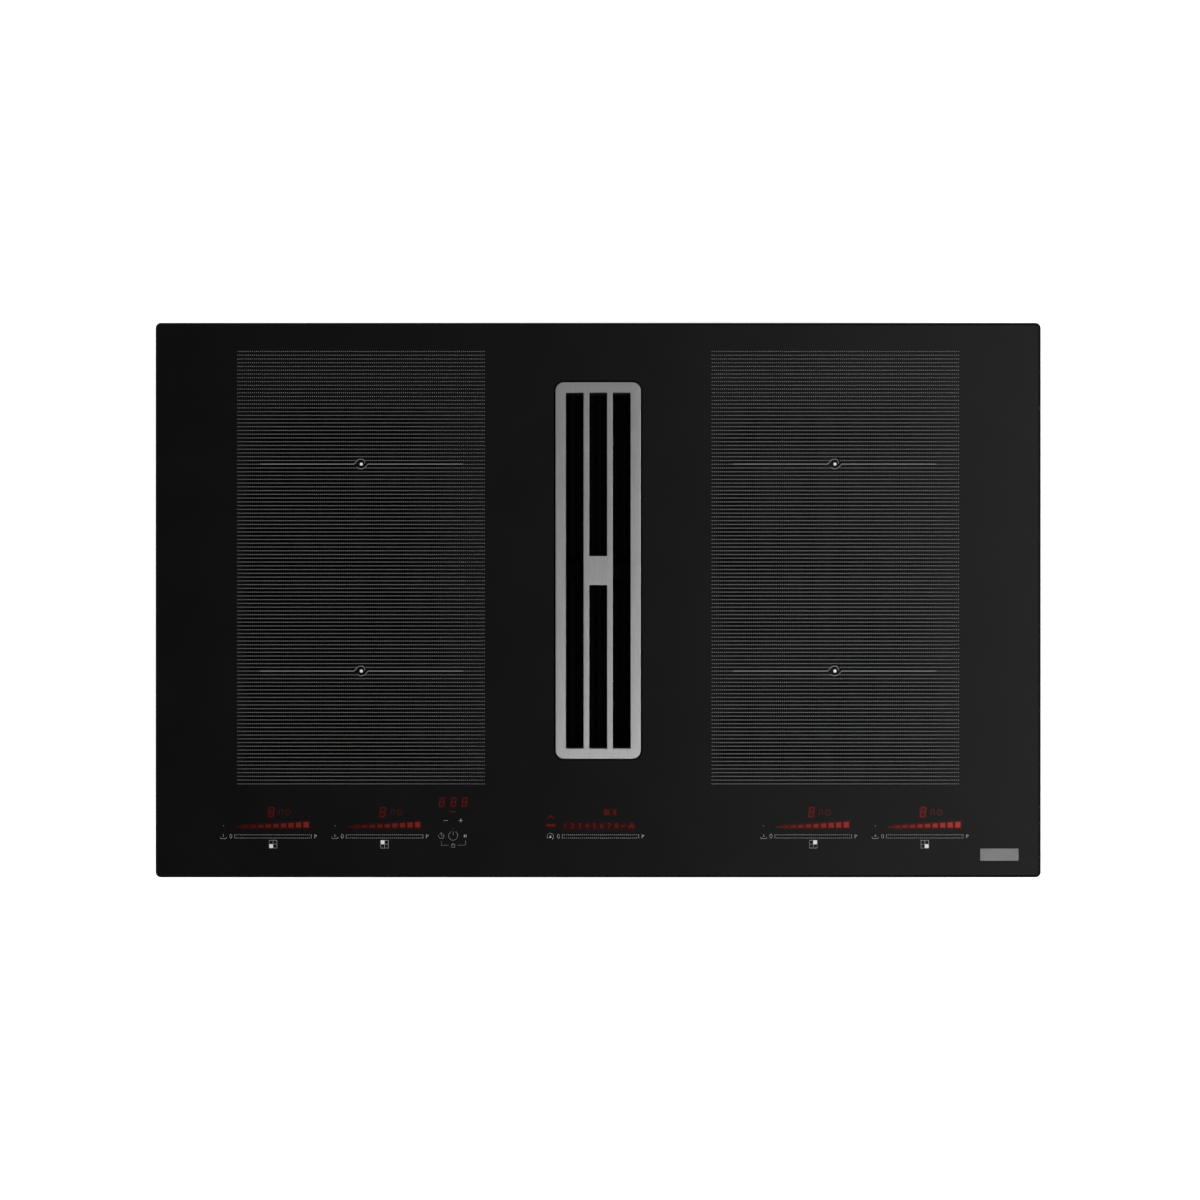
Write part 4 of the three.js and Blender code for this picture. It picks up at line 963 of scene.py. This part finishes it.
def make_controls():
    ticks, marks, filled, dots = Print(), Print(), Print(), Print()
    for index, start in enumerate(SLIDER_STARTS):
        zone = str(index + 1)
        slider(ticks, marks, start)
        warm_mark(marks, start)
        zone_mark(marks, filled, start, ZONE_QUARTERS[index])
        dots.at(start, 0).spot(*STANDBY_DOT, 0.42)
        dim, bright, haze = ZONE_GLOWS[index]
        digit, symbol = bright * DIGIT_GLOW, bright * SYMBOL_GLOW
        for shapes, name, glow, first, last in (
            (halo(start), "zone_halo_", "halo_glow_", haze, haze),
            (wedge(start), "level_bars_", "bar_glow_", dim, bright),
            (zone_digit(start), "zone_digit_", "digit_glow_", digit, digit),
            (side_marks(start), "zone_symbols_", "mark_glow_", symbol, symbol),
        ):
            shapes.finish(name + zone, lamp_red(glow + zone, first, last))
    slider(ticks, marks, HOOD_START, HOOD_SPAN)
    timer_marks(marks)
    hood_mark(marks)
    ticks.finish("slider_ticks", grey_ink)
    marks.finish("control_marks", pale_ink)
    filled.finish("zone_quarters", white_ink)
    dots.finish("standby_dots", dot_ink)
    make_timer_display()
    make_hood_display()


def timer_marks(marks):
    marks.at(TIMER_X, 0)
    marks.bar(-6.9, -206.6, 4.0, 0.24)
    marks.bar(7.1, -206.6, 3.4, 0.42)
    marks.bar(7.1, -206.6, 0.42, 3.4)
    marks.arc(0, -220.8, 4.2, -245, 65, 0.21, 28)
    marks.bar(0, -218.6, 0.22, 3.6)
    marks.arc(-11.1, -221.0, 2.5, -210, 120, 0.2)
    marks.line([(-11.1, -219.4), (-11.1, -221.0), (-9.9, -221.0)], 0.18)
    for x in (10.4, 12.0):
        marks.bar(x, -221.1, 0.7, 2.4)
    marks.line([(-11.1, -226.0), (-11.1, -229.8), (-4.0, -229.8)], 0.13)
    marks.line([(11.5, -225.2), (11.5, -229.8), (4.0, -229.8)], 0.13)
    marks.line([(-1.5, -231.7), (1.5, -231.7), (1.5, -229.3), (-1.5, -229.3)], 0.22, closed=True)
    marks.arc(0, -229.2, 1.1, 0, 180, 0.2, 10)


def hood_mark(marks):
    """An open ring with an arrow head, round a small triangle."""
    marks.at(HOOD_START - 11.3, -221.5)
    marks.arc(0, 0, 2.9, -40, 220, 0.23, 24)
    marks.fill([(1.8, -2.6), (2.9, -2.3), (2.5, -1.4)])
    marks.fill([(-1.2, -1.3), (1.2, -1.3), (0, 1.4)])


def make_timer_display():
    glow = Print(HALO_LIFT).at(TIMER_X, TIMER_DIGITS_Y)
    digits = Print().at(TIMER_X, TIMER_DIGITS_Y)
    width, height = TIMER_DIGIT
    for x in TIMER_DIGITS_X:
        digits.seven_segments(x, 0, width, height, 0.74)
        glow.bar(x, 0, width + 1.6 * HALO, height + 1.6 * HALO)
    digits.bar(-0.1, -8.9, 5.0, 0.9)
    digits.spot(0, -24.6, 0.6)
    digits.finish("timer_digits", lamp_red("timer_glow", 0.064, 0.07))
    glow.finish("timer_halo", lamp_red("timer_haze", 0.01, 0.01))


def make_hood_display():
    scale = Print().at(HOOD_START, HOOD_DIGITS)
    for i in range(8):
        scale.digit(str(i + 1), 2.5 + 6.9 * i, 0, 4.8)
    scale.bar(57.2, 0, 3.8, 0.8)
    hub = (HOOD_FAN_X, 0)
    for i in range(3):
        angle = math.radians(90 + 120 * i)
        for swing in (-0.5, 0.5):
            bend = around(*hub, 2.2, angle + swing)
            scale.line([hub, bend, around(*hub, 3.0, angle)], 0.55)
    scale.line([(39.6, 10.8), (43.4, 10.8), (43.4, 14.8), (39.6, 14.8)], 0.55, closed=True)
    scale.line([(39.6, 12.8), (43.4, 12.8)], 0.55)
    scale.line([(41.5, 10.8), (41.5, 14.8)], 0.55)
    drop = [(49.2, 15.0), (48.1, 12.3), (48.6, 10.9), (49.8, 10.9), (50.3, 12.3)]
    scale.line(drop, 0.55, closed=True)
    scale.finish("hood_scale", lamp_red("hood_glow", 0.085, 0.11))

    glow = Print(HALO_LIFT).at(HOOD_START, HOOD_DIGITS)
    glow.bar(34.4, 0, 67.5, 7.6)
    glow.bar(45.2, 12.9, 14, 6.6)
    glow.bar(-10.8, 0.5, 11, 5.2)
    glow.finish("hood_halo", lamp_red("hood_haze", 0.009, 0.012))

    state = Print().at(HOOD_START - 10.8, 0)
    state.bar(0, -211.1, 8.2, 1.9)
    state.line([(-2.8, -204.6), (0, -202.2), (2.8, -204.6)], 0.8)
    state.finish("hood_state", lamp_red("state_glow", 0.075, 0.075))


def make_badge():
    outline = rounded(*BADGE, 0.8, *BADGE_PLACE, steps=4)
    mesh = plate(outline, GLASS_TOP, GLASS_TOP + BADGE_THICKNESS, head=0.15)
    piece("bare_badge", mesh, "satin_metal", badge_metal)


# --- air box ---


def airbox_outline():
    width, depth = AIRBOX_X[1] - AIRBOX_X[0], AIRBOX_Y[1] - AIRBOX_Y[0]
    return rounded(width, depth, AIRBOX_RADIUS, sum(AIRBOX_X) / 2, sum(AIRBOX_Y) / 2, steps=10)


def make_tub():
    outline = airbox_outline()
    outside = edge_profile(AIRBOX_FOOT, TUB_TOP, TUB_FILLET, 0.4, steps=5)
    floor = AIRBOX_FOOT + AIRBOX_WALL
    inside = [(-AIRBOX_WALL, TUB_TOP), (-AIRBOX_WALL, floor + 2), (-AIRBOX_WALL - 2, floor)]
    mesh = stack([lifted(outline, g, z) for g, z in outside + inside])
    tub = piece("blower_tub", mesh, "black_plastic", replaces=["airbox_tub"])
    x, y, z = SPIGOT_PLACE
    opening = plate(rounded(SPIGOT[0] + 1, SPIGOT[1] + 1, 1, steps=2), -6, 9)
    cut(tub, turned(opening, BACK, (x, y, z)))

    low, high = AIRBOX_FOOT - 1, AIRBOX_FOOT + GROOVE_DEPTH
    hatch = rounded(*COLLECTOR, 8, 0, GRILLE_Y, steps=6)
    grooves = [(disc(radius, *BLOWER, steps=64), 1.6) for radius in (50, 78)] + [(hatch, 1.5)]
    cutters = [plate(outer, low, high, holes=[grown(outer, -wide)]) for outer, wide in grooves]
    cutters += [plate(disc(5.5, x, y, steps=24), low, SCREW_SEAT) for x, y in tub_screw_places()]
    cut(tub, joined(cutters))


def tub_screw_places():
    """Screws from below: three into the motor's bracket and six round the drain hatch."""
    turns = [math.radians(degrees) for degrees in (30, 150, 270)]
    places = [around(*BLOWER, MOTOR_SCREW_RADIUS, turn) for turn in turns]
    for sign_x in (-1, 1):
        for sign_y in (-1, 0, 1):
            x = sign_x * (COLLECTOR[0] / 2 - 9)
            places.append((x, GRILLE_Y + sign_y * (COLLECTOR[1] / 2 - 12)))
    return places


def seam_screw_places():
    """The places of the seam flange's ears, just outside the tub's walls."""
    reach = 3.4
    places = []
    for share in (0.12, 0.5, 0.88):
        x = AIRBOX_X[0] + share * (AIRBOX_X[1] - AIRBOX_X[0])
        places += [(x, AIRBOX_Y[0] - reach), (x, AIRBOX_Y[1] + reach)]
    for share in (0.1, 0.5, 0.72):
        y = AIRBOX_Y[0] + share * (AIRBOX_Y[1] - AIRBOX_Y[0])
        places += [(AIRBOX_X[0] - reach, y), (AIRBOX_X[1] + reach, y)]
    return places


def make_seam():
    outline = airbox_outline()
    low, high = TUB_TOP - SEAM_THICKNESS, TUB_TOP - 0.3
    cover_low, cover_high = TUB_TOP + 0.3, PAN_FOOT - 0.05
    bands, ears, heads = [], [], []
    for foot, top in ((low, high), (cover_low, cover_high)):
        outer, inner = grown(outline, SEAM_FLANGE), grown(outline, -1)
        bands.append(plate(outer, foot, top, 0.5, 0.5, [inner]))
    for x, y in seam_screw_places():
        ear = disc(SEAM_EAR, x, y, steps=24)
        ears += [plate(ear, low - 2, high, 0.6, 0.5), plate(ear, cover_low, cover_high, 0.5, 0.5)]
        heads.append(turned(screw_head(3.2, 1.9), DOWN, (x, y, low - 2)))
    piece("airbox_seam", joined(bands + ears), "black_plastic")
    for x, y in tub_screw_places():
        heads.append(turned(screw_head(3.4, 1.5), DOWN, (x, y, SCREW_SEAT)))
    piece("airbox_screws", joined(heads), "zinc_steel", plated_steel)


def rib_places(span):
    """Even places along a wall, clear of its rounded ends."""
    start = span[0] + 2 * AIRBOX_RADIUS
    reach = span[1] - span[0] - 4 * AIRBOX_RADIUS
    count = round(reach / RIB_PITCH)
    return [start + reach * i / count for i in range(count + 1)]


def make_ribs():
    """Moulded ribs up the tub's walls, clear of the outlet and the seam's ears."""
    low, high = AIRBOX_FOOT + TUB_FILLET + 3, TUB_TOP - SEAM_THICKNESS - 4
    thick, proud = RIB
    outlines = []
    for x in rib_places(AIRBOX_X):
        for wall in AIRBOX_Y:
            beside_spigot = abs(x - SPIGOT_PLACE[0]) >= SPIGOT[0] / 2 + 12
            if wall != AIRBOX_Y[1] or beside_spigot:
                outlines.append(rounded(thick, 2 * proud, 0.6, x, wall, steps=3))
    for y in rib_places(AIRBOX_Y):
        for wall in AIRBOX_X:
            outlines.append(rounded(2 * proud, thick, 0.6, wall, y, steps=3))
    ribs = [plate(outline, low, high, 0.5, 0.5) for outline in outlines]
    piece("airbox_ribs", joined(ribs), "black_plastic")


def make_spigot():
    outline = rounded(*SPIGOT, SPIGOT_RADIUS, steps=10)
    flange, length, wall = SPIGOT_FLANGE, SPIGOT_LENGTH, SPIGOT_WALL
    profile = [(0, 0), (0, 2.8), (flange - 0.4, 3), (flange, 3.4), (flange, 5.1)]
    profile += [(flange - 0.4, 5.5), (1.2, 5.6), (0.3, 6.2), (0, 7.5), (0, length - 7)]
    profile += [(0.7, length - 6), (0.9, length - 5), (0.7, length - 4), (0, length - 3)]
    profile += [(0, length - 0.5), (-0.4, length), (-wall + 0.4, length)]
    profile += [(-wall, length - 0.5), (-wall, 0)]
    mesh = turned(tube([lifted(outline, g, z) for g, z in profile]), BACK, SPIGOT_PLACE)
    piece("duct_spigot", mesh, "black_plastic", replaces=["outlet_spigot"])


# --- pan, terminal box, brackets ---


def make_pan_details():
    """Pressed beads, spot welds, screws and the bare plate on the pan."""
    half_x, half_y = PAN[0] / 2, PAN[1] / 2
    along_y = Matrix.Rotation(math.pi / 2, 3, "Z")
    beads = []
    for x in (-320, -250, -180, -110):
        beads.append(turned(swage(230), DOWN @ along_y, (x, -25, PAN_FOOT)))
    beads.append(turned(swage(150), DOWN @ along_y, (353, -20, PAN_FOOT)))
    for turn, x, y, length in (
        (FRONT, 0, -half_y, 690),
        (BACK, 0, half_y, 690),
        (LEFT @ along_y, -half_x, 0, 380),
        (RIGHT @ along_y, half_x, 0, 380),
    ):
        beads.append(turned(swage(length), turn, (x, y, PAN_MIDDLE)))
    piece("pan_beads", joined(beads), "zinc_steel")

    weld = ((2.6, -0.1), (2.3, 0.12), (1.2, 0.2), (0.9, 0.05))
    welds, heads = [], []
    for sign, wall, end in ((-1, FRONT, LEFT), (1, BACK, RIGHT)):
        for z in (-12, -27, -42):
            for x in (-half_x + 16, half_x - 16):
                welds.append(turned(spun(weld), wall, (x, sign * half_y, z)))
        for y in (-150, 0, 150):
            heads.append(turned(screw_head(), end, (sign * half_x, y, -42)))
        for x in (-300, -100, 100, 300):
            heads.append(turned(screw_head(), wall, (x, sign * half_y, -42)))
    for x, y in ((-145, -60), (-285, -60), (-145, 60), (-285, 60), (-215, -125), (-215, 100)):
        heads.append(turned(screw_head(), DOWN, (x, y, PAN_FOOT)))
    earth = spun([(5.6, 0), (5.6, 0.9), (4.1, 0.9, 6), (4.1, 3.6, 6), (3.6, 4, 6)])
    heads.append(turned(earth, DOWN, (-90, 205, PAN_FOOT)))
    piece("pan_welds", joined(welds), "zinc_steel")
    piece("pan_screws", joined(heads), "zinc_steel", plated_steel)

    mark = plate(rounded(74, 36, 2.5, steps=4), 0, 0.4, head=0.15)
    piece("bare_plate", turned(mark, DOWN, (-215, -12, PAN_FOOT)), "satin_metal", badge_metal)


def make_terminal():
    x, y = TERMINAL_PLACE
    high = TERMINAL_FOOT + TERMINAL_SHEET
    cover = plate(rounded(*TERMINAL, 1.5, x, y, steps=4), TERMINAL_FOOT, high, 0.7, 0.1)
    piece("terminal_lid", cover, "black_plastic", replaces=["terminal_cover"])
    heads = []
    for sign_x in (-1, 1):
        for sign_y in (-1, 1):
            screw_x = x + sign_x * (TERMINAL[0] / 2 - TERMINAL_SCREW_INSET)
            screw_y = y + sign_y * (TERMINAL[1] / 2 - TERMINAL_SCREW_INSET)
            heads.append(turned(screw_head(3, 1.9), DOWN, (screw_x, screw_y, high - 1.6)))
    piece("terminal_screws", joined(heads), "zinc_steel", plated_steel)


def make_gland():
    """A threaded shank, a hexagon and a ribbed nut; (radius, height, sides) up the outside."""
    profile = [(6.5, -8, 0), (9, -8, 0), (9, 0, 0), (12.6, 0, 6), (13, 0.5, 6), (13, 5.5, 6)]
    profile += [(12.6, 6, 6), (10.4, 6, 0), (11.4, 7.4, 12), (11.4, 16, 12), (10.6, 19, 12)]
    profile += [(8.8, 21.6, 0), (7.6, 22, 0), (6.5, 21, 0)]
    mesh = turned(tube([ring(*level, 48) for level in profile]), BACK, GLAND_PLACE)
    piece("compression_gland", mesh, "black_plastic", replaces=["cable_gland"])


def make_clamp_screws():
    low, high = CLAMP_SCREW_SPAN
    radius, head = CLAMP_SCREW_HEAD
    root = THREAD_RADIUS - THREAD_DEPTH
    levels = [(radius - 0.5, 0), (radius, 0.4, 6), (radius, head - 0.4, 6), (radius - 0.4, head)]
    level = head
    while level + THREAD_PITCH < high - low - 0.8:
        levels += [(root, level), (THREAD_RADIUS, level + THREAD_PITCH / 2)]
        level += THREAD_PITCH
    levels += [(root, level), (THREAD_RADIUS - 1, high - low)]
    for corner in ("front_left", "front_right", "rear_left", "rear_right"):
        x = CLAMP_SCREW[0] * (1 if "right" in corner else -1)
        y = CLAMP_SCREW[1] * (1 if "rear" in corner else -1)
        mesh = turned(spun(levels), Matrix.Identity(3), (x, y, low))
        body, replaced = f"jack_{corner}", [f"clamp_screw_{corner}"]
        piece(f"jack_screw_{corner}", mesh, "zinc_steel", plated_steel, body, replaced)


# --- stage, lights and camera ---

# The plate's mirror image is the part of the studio right above it: a dark ceiling that lightens
# from left to right. Places are the X part of a direction, levels are radiances.
CEILING = ((-0.1286, 0.045), (-0.0211, 0.10), (0.0169, 0.153), (0.1124, 0.345), (0.1283, 0.388))
CEILING_REACH = 0.16
CEILING_START = 12
CEILING_END = 50
STUDIO = 0.62
CAMERA_LENS = 100
CAMERA_SENSOR = 36
FRAME_WIDTH = 1124.9
CAMERA_X = 1.7
FLOOR_DEPTH = -205.6
FLOOR_GLOW = 0.62


def make_world():
    world = bpy.data.worlds.new("studio")
    bpy.context.scene.world = world
    world.use_nodes = True
    world.node_tree.nodes.clear()
    make = world.node_tree.nodes.new
    direction = make("ShaderNodeTexCoord").outputs["Generated"]
    split = wire(make("ShaderNodeSeparateXYZ"), Vector=direction)

    place = make("ShaderNodeMapRange")
    wire(place, Value=split.outputs["X"], From_Min=-CEILING_REACH, From_Max=CEILING_REACH)
    ceiling = wire(make("ShaderNodeValToRGB"), Fac=place.outputs["Result"])
    stops = [((x + CEILING_REACH) / (2 * CEILING_REACH), level) for x, level in CEILING]
    fill_ramp(ceiling.color_ramp, stops)

    spread = make("ShaderNodeMapRange")
    spread.interpolation_type = "SMOOTHSTEP"
    end, start = [math.cos(math.radians(turn)) for turn in (CEILING_END, CEILING_START)]
    wire(spread, Value=split.outputs["Z"], From_Min=end, From_Max=start)
    mixed = make("ShaderNodeMix")
    mixed.data_type = "RGBA"
    wire(mixed, Factor=spread.outputs["Result"], A=(STUDIO, STUDIO, STUDIO, 1))
    wire(mixed, B=ceiling.outputs["Color"])

    light = wire(make("ShaderNodeBackground"), Color=mixed.outputs["Result"])
    backdrop = wire(make("ShaderNodeBackground"), Color=(1, 1, 1, 1))
    choose = make("ShaderNodeMixShader")
    feed(choose.inputs["Fac"], make("ShaderNodeLightPath").outputs["Is Camera Ray"])
    feed(choose.inputs[1], light.outputs["Background"])
    feed(choose.inputs[2], backdrop.outputs["Background"])
    wire(make("ShaderNodeOutputWorld"), Surface=choose.outputs["Shader"])


def make_floor():
    """A pale floor that looks white to the camera but keeps a soft shadow."""
    surface = Surface("pale_floor", specular=0.1)
    surface.colour(surface.drift(3, 0.78, 0.82))
    surface.roughness(surface.drift(5, 0.8, 0.9))
    path = surface.add("ShaderNodeLightPath").outputs
    seen = surface.math("MAXIMUM", path["Is Camera Ray"], path["Is Transmission Ray"])
    seen = surface.math("MAXIMUM", seen, path["Is Glossy Ray"])
    lift = surface.add("ShaderNodeEmission", Strength=surface.math("MULTIPLY", seen, FLOOR_GLOW))
    both = surface.add("ShaderNodeAddShader")
    feed(both.inputs[0], surface.shader.outputs["BSDF"])
    feed(both.inputs[1], lift.outputs["Emission"])
    wire(surface.tree.nodes["Material Output"], Surface=both.outputs["Shader"])

    mesh = bmesh.new()
    bmesh.ops.create_grid(mesh, x_segments=1, y_segments=1, size=6)
    floor = placed("floor", baked("floor", mesh))
    floor.data.materials.append(surface.material)
    floor.location = (0, 0, FLOOR_DEPTH * MM)


def area_light(name, place, size, power, mirrored=True):
    """A rectangle of light that faces the middle of the plate."""
    data = bpy.data.lights.new(name, "AREA")
    data.shape = "RECTANGLE"
    data.size, data.size_y = size
    data.energy = power
    made = placed(name, data)
    made.location = place
    made.visible_glossy = mirrored
    aim = Vector() - Vector(place)
    made.rotation_euler = aim.to_track_quat("-Z", "Y").to_euler()


def make_lights():
    area_light("front_soft_box", (0.14, -0.57, 1.25), (0.4, 0.26), 3.5)
    area_light("side_soft_box", (0.86, 0, 1.25), (0.5, 0.3), 5)
    area_light("left_soft_box", (-2.2, 0.6, 1.9), (1.4, 1.4), 24, mirrored=False)
    area_light("right_soft_box", (2.3, -0.4, 1.7), (1.4, 1.4), 20, mirrored=False)


def make_camera():
    data = bpy.data.cameras.new("camera")
    data.lens = CAMERA_LENS
    data.sensor_width = CAMERA_SENSOR
    data.clip_end = 50
    made = placed("camera", data)
    height = GLASS_TOP + FRAME_WIDTH * CAMERA_LENS / CAMERA_SENSOR
    made.location = Vector((CAMERA_X, 0.1, height)) * MM
    bpy.context.scene.camera = made


# --- the scene ---

bpy.context.scene.view_settings.view_transform = "Standard"
make_camera()
make_world()
make_lights()
make_floor()
dress_nodes()
make_glass()
make_grille()
for side_name, side_sign in (("left", -1), ("right", 1)):
    make_zone(side_name, side_sign)
make_controls()
make_badge()
make_tub()
make_seam()
make_ribs()
make_spigot()
make_pan_details()
make_terminal()
make_gland()
make_clamp_screws()
